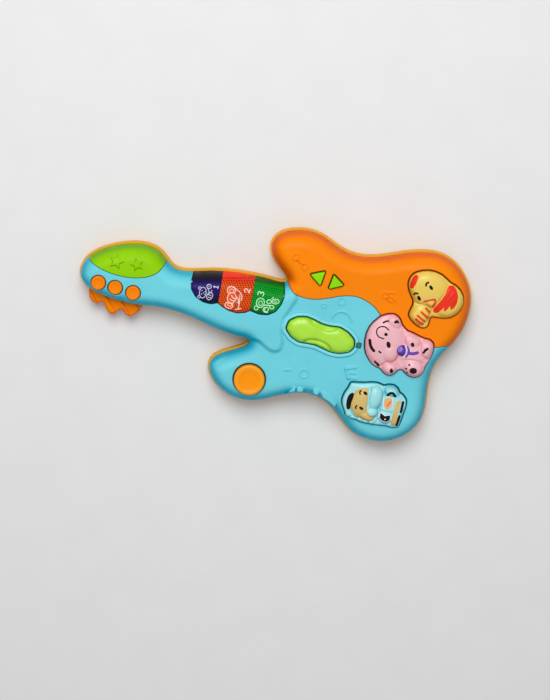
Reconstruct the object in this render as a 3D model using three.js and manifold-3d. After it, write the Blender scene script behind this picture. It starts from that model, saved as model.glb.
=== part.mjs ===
// A toddler's electronic toy guitar, lying on its back: X runs from the headstock to the strap end,
// Y runs across the body towards the orange horn, and Z is up out of the playing face. Millimetres.
import * as THREE from "three";
import { mergeVertices } from "three/addons/utils/BufferGeometryUtils.js";
import Module from "manifold-3d";

const wasm = await Module();
wasm.setup();

// Driving dimensions.
const WALL = 2.2; // moulded wall thickness
const JOIN_Z = 11; // height where the rear and front shells meet
const FACE_Z = 35; // playing face
const CEILING_Z = FACE_Z - WALL; // underside of the playing face
const GAP = 0.3; // space left between two pieces that touch
const REVEAL = 0.6; // space round a button in its opening
const BOARD_Z = 24; // underside of the circuit boards
const BOARD_T = 1.6;
const BOARD_TOP = BOARD_Z + BOARD_T;
const DOME_H = 3; // silicone dome under each button
const STEM_Z = BOARD_TOP + DOME_H + 2 * GAP; // lower end of each button's stem
const FLANGE_Z = 30; // lower face of the flange that keeps a button in
const FLANGE_TOP = CEILING_Z - GAP;
const FLANGE_W = 1.5; // how far the flange reaches under the face
const KEY_TILT = THREE.MathUtils.degToRad(6); // the neck edge that carries the keys leans by this
const ROD = { x: -77, y: 11.5, z: 28, r: 1.5 }; // hinge rod of the keys: a point on it, and its radius
const SCREW = { head: 2.7, shank: 1.15, headZ: 3.2, seatZ: 5, top: 20 };
const CELL = { r: 7.1, length: 49.5, z: 10.4, pitch: 15.2, x: 92, y: 0 }; // AA cells, side by side
const BAY = { x0: 62, x1: 122, y0: -25, y1: 25, top: 19.5 }; // battery compartment, inside
const SPEAKER = { x: 36, y: 44, r: 18 };
const SWITCH = { x: 30, y: -34, travel: 6 };

// Plain colours of the mouldings: roughness and metalness follow the material.
const plastic = (color, roughness = 0.35) => new THREE.MeshStandardMaterial({ color, roughness, metalness: 0 });
const steel = (color = 0xb9bcc0) => new THREE.MeshStandardMaterial({ color, roughness: 0.35, metalness: 1 });
const LOOK = {
  blue: plastic(0x55c4d8),
  orange: plastic(0xff8c00),
  yellow: plastic(0xf5a81c),
  lime: plastic(0x97d700),
  clearLime: plastic(0xa3e635, 0.15),
  navy: plastic(0x2a1d6b),
  red: plastic(0xf04a16),
  green: plastic(0x0c9a2c),
  chick: plastic(0xf3d768),
  pink: plastic(0xf6b7c6),
  aqua: plastic(0x8fdce2),
  board: plastic(0x2f6b3c, 0.6),
  silicone: plastic(0xd8d8d4, 0.8),
  black: plastic(0x1c1c1e, 0.5),
  cone: plastic(0x2b2622, 0.9),
  cell: steel(0x6f7a86),
  steel: steel(),
};

// Outline of the guitar where the two shells meet, from the tip of the headstock over the key side.
const BODY = [
  [-178.5, -6], [-176.5, 4], [-168.5, 14], [-155, 23], [-138, 30], [-122, 32], [-110, 28.5],
  [-100, 20.5], [-92, 17], [-80, 18.5], [-60, 24.5], [-35, 29], [-10, 30.5], [4, 30.5], [8.5, 33],
  [5, 38.5], [-6, 47], [-12.5, 55], [-14.5, 64], [-9.5, 73.5], [2, 80], [16, 83], [30, 81.5], [43, 76.5],
  [57, 72.5], [73, 73], [90, 78.5], [107, 86], [124, 91.5], [139, 93], [154, 88.5], [167, 78],
  [175.5, 64], [178.5, 48], [177, 30], [171, 14], [163.5, 0], [160, -15], [161, -32], [163.5, -48],
  [163, -62], [157, -75], [147, -85], [134, -91.5], [120, -93], [106, -90.5], [94, -83.5], [82, -73.5],
  [70, -67], [56, -65], [42, -67.5], [28, -74.5], [14, -82], [0, -86], [-14, -85.5], [-28, -80],
  [-38, -71], [-42, -62], [-39, -54], [-29, -46], [-18, -39.5], [-11, -33], [-13, -28.5], [-24, -28.5],
  [-40, -27.5], [-60, -24], [-80, -21], [-100, -21], [-120, -24], [-138, -24.5], [-156, -23],
  [-169, -19], [-176, -13],
];
// Seam between the blue front and the orange panel, then round outside the body.
const PANEL_SEAM = [
  [5.5, 36], [16, 27], [26.5, 24.8], [38, 26.3], [49, 30.5], [60, 35.4], [71, 38], [81, 37],
  [91.5, 32.8], [100, 26], [112, 17], [126, 11.5], [140, 9.5], [154, 10.8], [172, 16],
];
const PANEL_OUTSIDE = [[195, 24], [195, 110], [-30, 110], [-30, 50]];
// Seam between the blue headstock and the lime cover.
const COVER_SEAM = [
  [-180, 10], [-169.5, 6], [-158, 2.8], [-147, 1.4], [-136, 1.6], [-125.5, 3.6], [-116, 7.4], [-109, 13],
  [-105, 19.5], [-102.5, 26],
];
const COVER_OUTSIDE = [[-98, 45], [-195, 45], [-195, 14]];
const STRUM = [
  [18, -7], [18.8, 0.8], [25, 6], [33, 8.2], [40, 7.4], [48, 5.4], [56, 5.2], [65.5, 6.6], [74, 4],
  [81.2, -1.2], [82.8, -7.5], [79.5, -13], [71, -16.6], [62.5, -17.2], [55.5, -15.8], [47.5, -14.4],
  [40.5, -14.9], [33, -15.8], [24.6, -13],
];
const MODE = { x: -2.5, y: -62.3, r: 14.4 };
const VOLUME_DOWN = [[26.6, 47.4], [38.7, 53.4], [37.7, 39.6]];
const VOLUME_UP = [[47.2, 52.4], [58.2, 45.6], [45.9, 38.9]];
const STATUS = { x: 86.6, y: -5.4, w: 4.2, h: 4.6 };
const CHICK = [
  [119.4, 74], [124.3, 76.8], [130, 78.6], [136, 79], [142.4, 77.8], [148, 75], [152.3, 72.6],
  [157.5, 71.4], [162.8, 68.2], [166.6, 63.8], [168.4, 58.6], [168, 53], [165.6, 47.4], [161.6, 42.9],
  [156.6, 40.5], [149, 39.3], [143, 38.6], [142.4, 35], [142.8, 30], [141, 26.9], [137, 26.1],
  [131.4, 27.9], [126, 31.1], [123.2, 34.6], [123.6, 39], [124.8, 44.2], [124, 48.4], [120.4, 52.8],
  [117, 57.8], [115.2, 62.4], [115.3, 67.4], [116.8, 71.2],
];
const PUPPY = [
  [99.2, 26.4], [104.5, 29.6], [110, 31.4], [114.6, 30], [117.8, 27], [119.6, 23.8], [123, 21.2],
  [126.6, 19.2], [131, 18.9], [137.4, 17.4], [143, 16.4], [148.4, 16.6], [152.2, 14.4], [153.7, 10.8],
  [153.8, 5.8], [153.2, 0.4], [151.8, -4.6], [150.4, -8], [150.8, -12], [149, -16.8], [145.2, -20],
  [140.2, -20.7], [135.6, -19.2], [132.4, -16.6], [128.8, -16.2], [126.6, -19], [124.6, -22.4],
  [121.6, -24.5], [117.4, -24.4], [114, -22.4], [111.6, -20.2], [107.6, -19.8], [103.4, -18.4],
  [99.3, -15], [95.2, -10.6], [92.6, -5.2], [91.2, 1.2], [90.8, 7.8], [91.8, 14], [94.2, 19.4],
];
const WALRUS = [
  [89, -40.6], [95, -39.4], [101.6, -37.8], [107, -36], [112.4, -34.8], [116.6, -35.4], [119.6, -36],
  [123.2, -33.8], [128, -33], [132.2, -34.8], [135, -38.4], [139, -40], [142.6, -43.4], [143.8, -49],
  [143.4, -56.6], [142.9, -63.6], [142.4, -69.6], [137.4, -71.6], [131.2, -71.4], [124, -72.6],
  [117, -73.4], [108.4, -74], [102, -72.6], [96.6, -73], [92.4, -71.8], [90.2, -67.4], [86.8, -62.6],
  [85.3, -57.4], [86.1, -51.4], [88.1, -46],
];
// Piano keys along the key side of the neck: each runs from beyond the edge to a round inner end.
const KEY_1 = [
  [-76.7, 32], [-49.4, 34], [-51, 27.7], [-48.8, 0.8], [-55, -2], [-62, -1.9], [-69.6, 0.9],
  [-74.8, 6.6], [-76.8, 14],
];
const KEY_2 = [
  [-50.4, 36], [-20.4, 38], [-21.4, 31.6], [-18.5, 1.4], [-23, -1.8], [-29.6, -3.9], [-37, -3.7],
  [-43.4, -1.8], [-48.8, 0.8], [-51, 27.7],
];
const KEY_3 = [
  [-20.8, 38], [5, 38], [7.4, 29], [8.1, 22], [7.2, 13.8], [3.8, 6], [-2, 1.6], [-9.6, 0.2],
  [-18.5, 1.4], [-21.4, 31.6],
];
// Tuner lobes that stick out of the headstock's lower side.
const TUNER = [
  [-167, -14], [-166.5, -22.5], [-164.6, -28.6], [-160.6, -32.6], [-156, -33], [-152, -29.8],
  [-149.6, -31.6], [-146.6, -36.2], [-142.8, -39.1], [-138.8, -38.6], [-135.8, -34.6], [-133, -31.8],
  [-130.8, -33.4], [-127.6, -36.6], [-123.4, -36.9], [-119.4, -33.6], [-116.2, -28.4], [-114.4, -22.6],
  [-113.6, -14],
];
const POSTS = [[-159, -10], [-143, -10.6], [-126, -11]];
const POST_R = 6.6;
const BUTTON_SPOTS = {
  strum: [50, -5], mode: [MODE.x, MODE.y], volume_down: [34.4, 46.8], volume_up: [50.4, 45.6], chick: [141, 58],
  puppy: [122, 2], walrus: [116, -54],
};
// Case screws, with the front piece that each one pulls down.
const CASE_SCREWS = [
  { x: -108, y: -4, of: "front" }, { x: -138, y: 15, of: "cover" }, { x: -62, y: -13, of: "front" },
  { x: -28, y: -62, of: "front" }, { x: 2, y: 66, of: "panel" }, { x: 94, y: 60, of: "panel" },
  { x: 163, y: 28, of: "panel" }, { x: 154, y: -33, of: "front" }, { x: 112, y: -83, of: "front" },
];
// Circuit boards, [x0, x1, y0, y1], with the screw that holds each one up to the front.
const BOARDS = {
  main: { box: [22, 96, -27, 20], screw: [31, -23], of: "front" },
  animal: { box: [105, 149, -66, 70], screw: [109.5, 62], of: "panel" },
  volume: { box: [22, 68, 38, 55], screw: [64.5, 46], of: "panel" },
  mode: { box: [-9, 9, -72, -37], screw: [-2.5, -41], of: "front" },
};
const KEY_BOARD = { length: 96, width: 9, x: -30, y: 4.2, screw: [13.5, 8.8] };

// --- Geometry helpers -------------------------------------------------------------------------

// A closed loop of points, smoothed through its control points.
function smooth(points, perSegment = 2) {
  const places = points.map(([x, y]) => new THREE.Vector3(x, y, 0));
  const curve = new THREE.CatmullRomCurve3(places, true, "centripetal");
  const loop = curve.getPoints(points.length * perSegment).slice(0, -1).map((p) => new THREE.Vector2(p.x, p.y));
  return THREE.ShapeUtils.area(loop) < 0 ? loop.reverse() : loop;
}

// The same loop of corners, unsmoothed.
function cornered(points) {
  const loop = points.map(([x, y]) => new THREE.Vector2(x, y));
  return THREE.ShapeUtils.area(loop) < 0 ? loop.reverse() : loop;
}

// An open smooth seam closed by corner points outside the body.
function region(seam, outside) {
  const curve = new THREE.SplineCurve(seam.map(([x, y]) => new THREE.Vector2(x, y)));
  const loop = [...curve.getPoints(seam.length * 2), ...outside.map(([x, y]) => new THREE.Vector2(x, y))];
  return THREE.ShapeUtils.area(loop) < 0 ? loop.reverse() : loop;
}

function circle(x, y, r, sides = 20) {
  return Array.from({ length: sides }, (_, i) => {
    const a = (2 * Math.PI * i) / sides;
    return new THREE.Vector2(x + r * Math.cos(a), y + r * Math.sin(a));
  });
}

function rectangle(x0, x1, y0, y1) {
  return cornered([[x0, y0], [x1, y0], [x1, y1], [x0, y1]]);
}

// Moves an anticlockwise loop inwards by a distance, or outwards by a negative one.
function inset(loop, distance) {
  const turned = (a, b) => new THREE.Vector2(a.y - b.y, b.x - a.x).normalize(); // left of the way from a to b
  return loop.map((p, i) => {
    const before = turned(loop.at(i - 1), p);
    const after = turned(p, loop[(i + 1) % loop.length]);
    const middle = before.clone().add(after).normalize();
    const reach = distance / Math.max(0.45, middle.dot(after));
    return p.clone().addScaledVector(middle, reach);
  });
}

// A solid built up in layers, each the loop moved inwards by its first number at the height of its second.
function layered(loop, layers) {
  const rings = layers.map(([distance, z]) => inset(loop, distance).map((p) => [p.x, p.y, z]));
  const n = loop.length;
  const cap = THREE.ShapeUtils.triangulateShape(loop, []);
  const index = cap.map(([a, b, c]) => [c, b, a]);
  const top = n * (rings.length - 1);
  cap.forEach(([a, b, c]) => index.push([a + top, b + top, c + top]));
  for (let r = 0; r + 1 < rings.length; r++)
    for (let i = 0; i < n; i++) {
      const [a, b] = [r * n + i, r * n + ((i + 1) % n)];
      index.push([a, b, b + n], [a, b + n, a + n]);
    }
  const geometry = new THREE.BufferGeometry();
  geometry.setAttribute("position", new THREE.Float32BufferAttribute(rings.flat(2), 3));
  geometry.setIndex(index.flat());
  return solid(geometry);
}

const prism = (loop, z0, z1) => layered(loop, [[0, z0], [0, z1]]);
const pillar = (x, y, r, z0, z1, sides = 12) => prism(circle(x, y, r, sides), z0, z1);
const block = (x0, x1, y0, y1, z0, z1) => prism(rectangle(x0, x1, y0, y1), z0, z1);

// A turned solid on a vertical axis, from the half section [radius, z] that is spun round it.
function turnedPiece(x, y, profile, sides = 16) {
  const points = profile.map(([r, z]) => new THREE.Vector2(r, z));
  const geometry = new THREE.LatheGeometry(points, sides);
  geometry.rotateX(Math.PI / 2).translate(x, y, 0);
  return solid(geometry);
}

// A cylinder along the hinge line of the keys, between two distances from the rod's own point.
function alongRod(r, from, to, sides = 12) {
  const geometry = new THREE.CylinderGeometry(r, r, to - from, sides);
  geometry.rotateZ(-Math.PI / 2).translate((from + to) / 2, 0, 0).rotateZ(KEY_TILT);
  geometry.translate(ROD.x, ROD.y, ROD.z);
  return solid(geometry);
}

// A three.js geometry as a manifold solid, and back.
function solid(geometry) {
  const plain = geometry.clone();
  plain.deleteAttribute("normal");
  plain.deleteAttribute("uv");
  const merged = mergeVertices(plain, 1e-4);
  return new wasm.Manifold(
    new wasm.Mesh({
      numProp: 3,
      vertProperties: merged.attributes.position.array,
      triVerts: new Uint32Array(merged.index.array),
    }),
  );
}

function geometryOf(manifold) {
  const mesh = manifold.getMesh();
  const geometry = new THREE.BufferGeometry();
  geometry.setAttribute("position", new THREE.BufferAttribute(mesh.vertProperties, 3));
  geometry.setIndex(new THREE.BufferAttribute(mesh.triVerts, 1));
  geometry.computeVertexNormals();
  return geometry;
}

const union = (pieces) => pieces.reduce((a, b) => a.add(b));

const guitar = new THREE.Group();
function addPart(name, manifold, material) {
  const mesh = new THREE.Mesh(geometryOf(manifold), material);
  mesh.name = name;
  guitar.add(mesh);
}

// --- Shells -----------------------------------------------------------------------------------

const outline = smooth(BODY);
const panelRegion = region(PANEL_SEAM, PANEL_OUTSIDE);
const coverRegion = region(COVER_SEAM, COVER_OUTSIDE);
const shapes = {
  strum: smooth(STRUM, 1), mode: circle(MODE.x, MODE.y, MODE.r, 32), volume_down: cornered(VOLUME_DOWN),
  volume_up: cornered(VOLUME_UP), chick: smooth(CHICK, 1), puppy: smooth(PUPPY, 1), walrus: smooth(WALRUS, 1),
};
const keyShapes = [KEY_1, KEY_2, KEY_3].map((points) => cornered(points));
const statusShape = rectangle(
  STATUS.x - STATUS.w / 2, STATUS.x + STATUS.w / 2, STATUS.y - STATUS.h / 2, STATUS.y + STATUS.h / 2);

// The front's outside and inside, from the join up over the rounded edge to the flat face.
const frontOutside = layered(outline, [[0, JOIN_Z], [0, 21], [1.4, 27.5], [4.6, 32.4], [10, FACE_Z]]);
const frontInside = layered(outline, [[WALL, JOIN_Z - 1], [WALL, 20.5], [4.4, 28], [11.4, CEILING_Z]]);
// The space a flange may fill: the inside, less a gap all round.
const flangeRoom = layered(outline, [[3, 20], [5.2, 27.4], [12.4, FLANGE_TOP]]);

const screwTower = ({ x, y }) => pillar(x, y, 3.6, JOIN_Z, FACE_Z - 0.5, 10);
const pilotHole = ({ x, y }) => pillar(x, y, SCREW.shank + GAP, JOIN_Z - 1, SCREW.top + 1, 8);
const boardPost = ([x, y]) => pillar(x, y, 2.5, BOARD_TOP + GAP, CEILING_Z + 1, 10);
const boardPilot = ([x, y]) => pillar(x, y, 1.2, BOARD_Z, 31, 8);

function fastenings(owner) {
  const screws = CASE_SCREWS.filter((s) => s.of === owner);
  const boards = Object.values(BOARDS).filter((b) => b.of === owner).map((b) => b.screw);
  if (owner === "front") boards.push(KEY_BOARD.screw);
  return {
    towers: [...screws.map(screwTower), ...boards.map(boardPost)],
    holes: [...screws.map(pilotHole), ...boards.map(boardPilot)],
  };
}

// One moulded piece of the front: a share of the skin, its screw towers, less every opening in it.
function frontPiece(share, owner, openings) {
  const { towers, holes } = fastenings(owner);
  const skin = share(frontOutside.subtract(frontInside));
  const inTower = union(towers).intersect(frontOutside);
  return skin.add(inTower).subtract(union([...holes, ...openings]));
}

const opening = (loop, z0 = FLANGE_Z - 3, space = REVEAL) => prism(inset(loop, -space), z0, FACE_Z + 5);
const keyBay = union(keyShapes.map((loop) => prism(inset(loop, -0.8), JOIN_Z + 2.5, FACE_Z + 5)));
const tunerSlot = prism(rectangle(-168.5, -112.5, -40, -15), JOIN_Z - 1, 20.2);
const rodBrackets = union([
  block(-85, -79.6, 5, 17, ROD.z - 4, CEILING_Z + 1), block(9.6, 14.6, 15, 27, ROD.z - 4, CEILING_Z + 1),
]).intersect(frontOutside);

const frontShell = frontPiece(
  (skin) => skin.subtract(prism(panelRegion, 0, 60)).subtract(prism(coverRegion, 0, 60)).add(rodBrackets),
  "front",
  [
    keyBay, tunerSlot, alongRod(ROD.r + GAP, -10, 96), opening(statusShape, 28, GAP),
    opening(shapes.strum), opening(shapes.mode), opening(shapes.puppy), opening(shapes.walrus),
    ...POSTS.map(([x, y]) => pillar(x, y, POST_R + 0.5, 14, 45, 24)),
  ],
);
const bodyPanel = frontPiece(
  (skin) => skin.intersect(prism(inset(panelRegion, GAP), 0, 60)),
  "panel",
  [opening(shapes.chick), opening(shapes.puppy), opening(shapes.volume_down), opening(shapes.volume_up)],
);
const headstockCover = frontPiece((skin) => skin.intersect(prism(inset(coverRegion, GAP), 0, 60)), "cover", []);
addPart("front_shell", frontShell, LOOK.blue);
addPart("body_panel", bodyPanel, LOOK.orange);
addPart("headstock_cover", headstockCover, LOOK.lime);

// The rear shell: a shallow tray with the battery bay, the speaker grille and the screw towers.
const DOOR = { x0: BAY.x0 - 3, x1: BAY.x1 + 9, y0: BAY.y0 - 2, y1: BAY.y1 + 2, z0: 0.5, z1: 2.1 };
const DOOR_SCREW = { x: BAY.x1 + 4.6, y: 0 };
const rearOutside = layered(outline, [[5, 0], [1.5, 1.6], [0, 5], [0, JOIN_Z - GAP]]);
const rearInside = layered(outline, [[6.6, 2.4], [WALL, 5.6], [WALL, JOIN_Z + 1]]);
const bayWalls = block(BAY.x0 - 1.6, BAY.x1 + 1.6, BAY.y0 - 1.6, BAY.y1 + 1.6, 1, BAY.top);
const doorFrame = block(DOOR.x0 - 1.6, DOOR.x1 + 1.6, DOOR.y0 - 1.6, DOOR.y1 + 1.6, 1, 4.2);
const rearTower = ({ x, y }) => pillar(x, y, 4.6, 1.5, JOIN_Z - GAP, 12);
const rearHole = ({ x, y }) => pillar(x, y, 3.2, -1, SCREW.seatZ, 12).add(pillar(x, y, 1.6, 0, JOIN_Z + 2, 8));
const grille = [-12, -7.2, -2.4, 2.4, 7.2, 12].map((dy) => {
  const half = Math.sqrt(14 ** 2 - dy ** 2);
  return block(SPEAKER.x - half, SPEAKER.x + half, SPEAKER.y + dy - 1, SPEAKER.y + dy + 1, -1, 4);
});
const speakerCup = pillar(SPEAKER.x, SPEAKER.y, SPEAKER.r + 2.2, 1, 8, 32)
  .subtract(pillar(SPEAKER.x, SPEAKER.y, SPEAKER.r + 0.6, 0, 9, 32));
const doorScrewTower = pillar(DOOR_SCREW.x, 0, 3.4, 1, 12, 16);
const rearShell = rearOutside.subtract(rearInside)
  .add(union([bayWalls, doorFrame, speakerCup, doorScrewTower, ...CASE_SCREWS.map(rearTower)]))
  .subtract(union([
    ...CASE_SCREWS.map(rearHole), ...grille,
    block(BAY.x0, BAY.x1, BAY.y0, BAY.y1, -1, BAY.top - 1.5),
    block(DOOR.x0, DOOR.x1, DOOR.y0, DOOR.y1, -1, DOOR.z1 + GAP),
    pillar(DOOR_SCREW.x, 0, 1.5, 0, 10.5, 12),
    block(SWITCH.x - 9, SWITCH.x + 9, SWITCH.y - 4.5, SWITCH.y + 4.5, -1, 1.4),
    block(SWITCH.x - 6.5, SWITCH.x + 6.5, SWITCH.y - 2, SWITCH.y + 2, 0, 4),
  ]));
addPart("rear_shell", rearShell, LOOK.yellow);

// The tuner rack: three lobes outside the headstock and three round posts that show in its face.
const tunerPlate = prism(smooth(TUNER, 1), JOIN_Z + GAP, 19.4)
  .add(block(-165, -117, -20.5, -5, JOIN_Z + 1, 15.5));
const tunerPosts = union(POSTS.map(([x, y]) => pillar(x, y, POST_R, 14, FACE_Z + 0.4, 24)));
addPart("tuner_rack", tunerPlate.add(tunerPosts).subtract(pillar(-108, -4, 4.2, 0, 40)), LOOK.orange);

// --- Piano keys -------------------------------------------------------------------------------

const keyOutside = layered(
  outline, [[-0.2, JOIN_Z + 3], [-0.2, 21.5], [1.2, 28.4], [4.4, 33.3], [10, FACE_Z + 1]]);
const keyInside = layered(outline, [[1.9, JOIN_Z], [1.9, 21], [3.4, 27], [6.2, 31.2], [11.4, FACE_Z - 1.6]]);
const KEYS = [
  { name: "key_1", from: 2.2, to: 25.6, plunger: [-62, 3.4], look: LOOK.navy },
  { name: "key_2", from: 28.6, to: 55.6, plunger: [-33, 3.2], look: LOOK.red },
  { name: "key_3", from: 58.8, to: 83.4, plunger: [-7, 6.6], look: LOOK.green },
];
KEYS.forEach(({ name, from, to, plunger, look }, i) => {
  const share = prism(inset(keyShapes[i], 0.25), JOIN_Z, FACE_Z + 8);
  const plate = keyOutside.subtract(keyInside).intersect(share);
  const rib = solid(new THREE.BoxGeometry(to - from, 5.6, 9)
    .translate((from + to) / 2, 0, 2.4).rotateZ(KEY_TILT).translate(ROD.x, ROD.y, ROD.z)).intersect(keyOutside);
  const stem = pillar(...plunger, 2, STEM_Z, FACE_Z - 1, 12);
  const key = plate.add(rib).add(alongRod(2.8, from, to)).add(stem).subtract(alongRod(ROD.r + GAP, -10, 96));
  addPart(name, key, look);
});
addPart("key_hinge_rod", alongRod(ROD.r, -6.5, 91.5), LOOK.steel);

// --- Push buttons -----------------------------------------------------------------------------

// A button: a rounded cap in its opening, a flange under the face and a stem down to its dome.
function button(name, layers, material) {
  const loop = shapes[name];
  const flange = prism(inset(loop, -FLANGE_W), FLANGE_Z, FLANGE_TOP).intersect(flangeRoom);
  const stem = pillar(...BUTTON_SPOTS[name], 2.4, STEM_Z, FLANGE_TOP, 12);
  addPart(`${name}_button`, layered(loop, [[0, FLANGE_Z], ...layers]).add(flange).add(stem), material);
}
const tallCap = [[0, 37.2], [0.8, 39.6], [2.4, 41.6], [4.2, 42.6]];
button("strum", [[0, 35.6], [1.4, 38], [4.4, 39.6], [8, 40]], LOOK.clearLime);
button("mode", [[0, 37.6], [1, 38.8], [3.2, 39.2]], LOOK.orange);
button("volume_down", [[0, 36.2], [0.6, 36.8]], LOOK.lime);
button("volume_up", [[0, 36.2], [0.6, 36.8]], LOOK.lime);
button("chick", tallCap, LOOK.chick);
button("puppy", tallCap, LOOK.pink);
button("walrus", tallCap, LOOK.aqua);
addPart("status_lens", prism(statusShape, 31, FACE_Z + 0.3), LOOK.clearLime);
const ledProfile = [[0, 25.9], [1.6, 25.9], [1.6, 28.4], [1.1, 29.6], [0, 30]];
addPart("status_led", turnedPiece(STATUS.x, STATUS.y, ledProfile, 12), LOOK.clearLime);

// --- Circuit boards and domes -----------------------------------------------------------------

const boardScrewProfile = [
  [0, BOARD_Z - 1.6], [2, BOARD_Z - 1.6], [2, BOARD_Z - GAP], [0.9, BOARD_Z - GAP], [0.9, 30], [0, 30.6],
];
const boardScrew = ([x, y]) => turnedPiece(x, y, boardScrewProfile, 10);
for (const [name, { box, screw }] of Object.entries(BOARDS)) {
  const hole = pillar(...screw, 1.3, BOARD_Z - 1, BOARD_TOP + 1, 12);
  addPart(`${name}_board`, block(...box, BOARD_Z, BOARD_TOP).subtract(hole), LOOK.board);
  addPart(`${name}_board_screw`, boardScrew(screw), LOOK.steel);
}
const keyBoard = solid(new THREE.BoxGeometry(KEY_BOARD.length, KEY_BOARD.width, BOARD_T).rotateZ(KEY_TILT)
  .translate(KEY_BOARD.x, KEY_BOARD.y, BOARD_Z + BOARD_T / 2));
addPart("key_board", keyBoard.subtract(pillar(...KEY_BOARD.screw, 1.3, 20, 30, 12)), LOOK.board);
addPart("key_board_screw", boardScrew(KEY_BOARD.screw), LOOK.steel);

const domeProfile = [[0, 0], [3.6, 0], [3.6, 0.7], [2.6, 1.4], [2, DOME_H], [0, DOME_H]];
const domeSpots = {
  ...BUTTON_SPOTS, ...Object.fromEntries(KEYS.map(({ name, plunger }) => [name, plunger])),
};
for (const [name, [x, y]] of Object.entries(domeSpots)) {
  const profile = domeProfile.map(([r, z]) => [r, z + BOARD_TOP + GAP]);
  addPart(`${name}_dome`, turnedPiece(x, y, profile, 12), LOOK.silicone);
}

// --- Speaker, battery bay, switch and screws --------------------------------------------------

const basket = [
  [15.6, 3.4], [18, 3.4], [18, 5], [14.6, 6.4], [9.8, 12.6], [9.8, 13.8], [7.6, 13.8], [7.6, 12],
  [13, 5.6], [15.6, 4.6], [15.6, 3.4],
];
addPart("speaker_basket", turnedPiece(SPEAKER.x, SPEAKER.y, basket, 24), LOOK.steel);
const cone = [
  [0, 7.4], [4, 6.4], [9.6, 5.2], [12, 4.2], [15.2, 3.8], [15.2, 4.4], [12.4, 4.9], [10, 5.8],
  [4.4, 9.6], [0, 9.9],
];
addPart("speaker_cone", turnedPiece(SPEAKER.x, SPEAKER.y, cone, 20), LOOK.cone);
addPart("speaker_magnet", pillar(SPEAKER.x, SPEAKER.y, 9.6, 14.2, 19.5, 20), LOOK.black);

for (const i of [0, 1, 2]) {
  const y = CELL.y + (i - 1) * CELL.pitch;
  const flip = i === 1 ? -1 : 1;
  const profile = [[0, -CELL.length / 2], [CELL.r, -CELL.length / 2], [CELL.r, CELL.length / 2 - 1.4],
    [2.7, CELL.length / 2 - 1.4], [2.7, CELL.length / 2], [0, CELL.length / 2]];
  const geometry = new THREE.LatheGeometry(profile.map(([r, z]) => new THREE.Vector2(r, z)), 20);
  geometry.rotateZ((-flip * Math.PI) / 2).translate(CELL.x, y, CELL.z);
  addPart(`battery_${i + 1}`, solid(geometry), LOOK.cell);
}
const contactPlate = (x) => block(x, x + 0.8, BAY.y0 + 2, BAY.y1 - 2, 4, 16);
const contactNub = (x, y, length) => solid(
  new THREE.CylinderGeometry(2.2, 2.6, length, 10).rotateZ(-Math.PI / 2).translate(x, y, CELL.z));
addPart("battery_contacts_left", contactPlate(BAY.x0 + 0.5).add(contactNub(64.7, -CELL.pitch, 3.6))
  .add(contactNub(64.7, CELL.pitch, 3.6)), LOOK.steel);
addPart("battery_contacts_right", contactPlate(BAY.x1 - 1.3).add(contactNub(119.1, 0, 3.6)), LOOK.steel);

const doorPlate = block(DOOR.x0 + 0.4, DOOR.x1 - 0.4, DOOR.y0 + 0.4, DOOR.y1 - 0.4, DOOR.z0, DOOR.z1)
  .subtract(pillar(DOOR_SCREW.x, 0, 1.5, 0, 4, 12));
addPart("battery_door", doorPlate, LOOK.yellow);
addPart("battery_door_screw", turnedPiece(
  DOOR_SCREW.x, 0, [[0, 0.1], [0.9, 0.1], [1.15, 0.5], [1.15, 9], [0, 9.6]], 10), LOOK.steel);

addPart("power_switch_knob", block(
  SWITCH.x - 5.8, SWITCH.x + 5.8 - SWITCH.travel, SWITCH.y - 1.6, SWITCH.y + 1.6, 0.4, 4.4), LOOK.black);
addPart("power_switch_body", block(
  SWITCH.x - 8.5, SWITCH.x + 8.5, SWITCH.y - 4, SWITCH.y + 4, 4.7, 10), LOOK.steel);

const screwProfile = [[0, SCREW.headZ], [SCREW.head, SCREW.headZ], [SCREW.head, SCREW.seatZ - GAP],
  [SCREW.shank, SCREW.seatZ - GAP], [SCREW.shank, SCREW.top - 1.4], [0, SCREW.top]];
CASE_SCREWS.forEach(({ x, y }, i) =>
  addPart(`case_screw_${i + 1}`, turnedPiece(x, y, screwProfile, 10), LOOK.steel));

export default guitar;
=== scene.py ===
"""Looks of the toy guitar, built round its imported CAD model. Shapes are worked out in millimetres."""

import math

import bpy
import numpy as np
from mathutils import Matrix, Vector
from mathutils.geometry import delaunay_2d_cdt


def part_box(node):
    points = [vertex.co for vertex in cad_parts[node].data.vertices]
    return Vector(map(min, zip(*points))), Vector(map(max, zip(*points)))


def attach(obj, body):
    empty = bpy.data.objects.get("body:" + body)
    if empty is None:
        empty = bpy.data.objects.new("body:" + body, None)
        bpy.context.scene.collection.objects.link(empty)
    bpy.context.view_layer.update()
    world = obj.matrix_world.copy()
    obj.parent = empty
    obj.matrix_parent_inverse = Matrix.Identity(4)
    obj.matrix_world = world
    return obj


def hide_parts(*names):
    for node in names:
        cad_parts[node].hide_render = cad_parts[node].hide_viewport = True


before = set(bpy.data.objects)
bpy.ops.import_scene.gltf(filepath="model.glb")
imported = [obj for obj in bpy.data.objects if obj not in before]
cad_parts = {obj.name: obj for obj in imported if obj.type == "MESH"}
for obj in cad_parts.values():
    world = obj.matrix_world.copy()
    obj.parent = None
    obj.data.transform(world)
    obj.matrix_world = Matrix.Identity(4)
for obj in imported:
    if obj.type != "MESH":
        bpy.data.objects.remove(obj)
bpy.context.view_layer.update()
MM = 0.001

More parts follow.
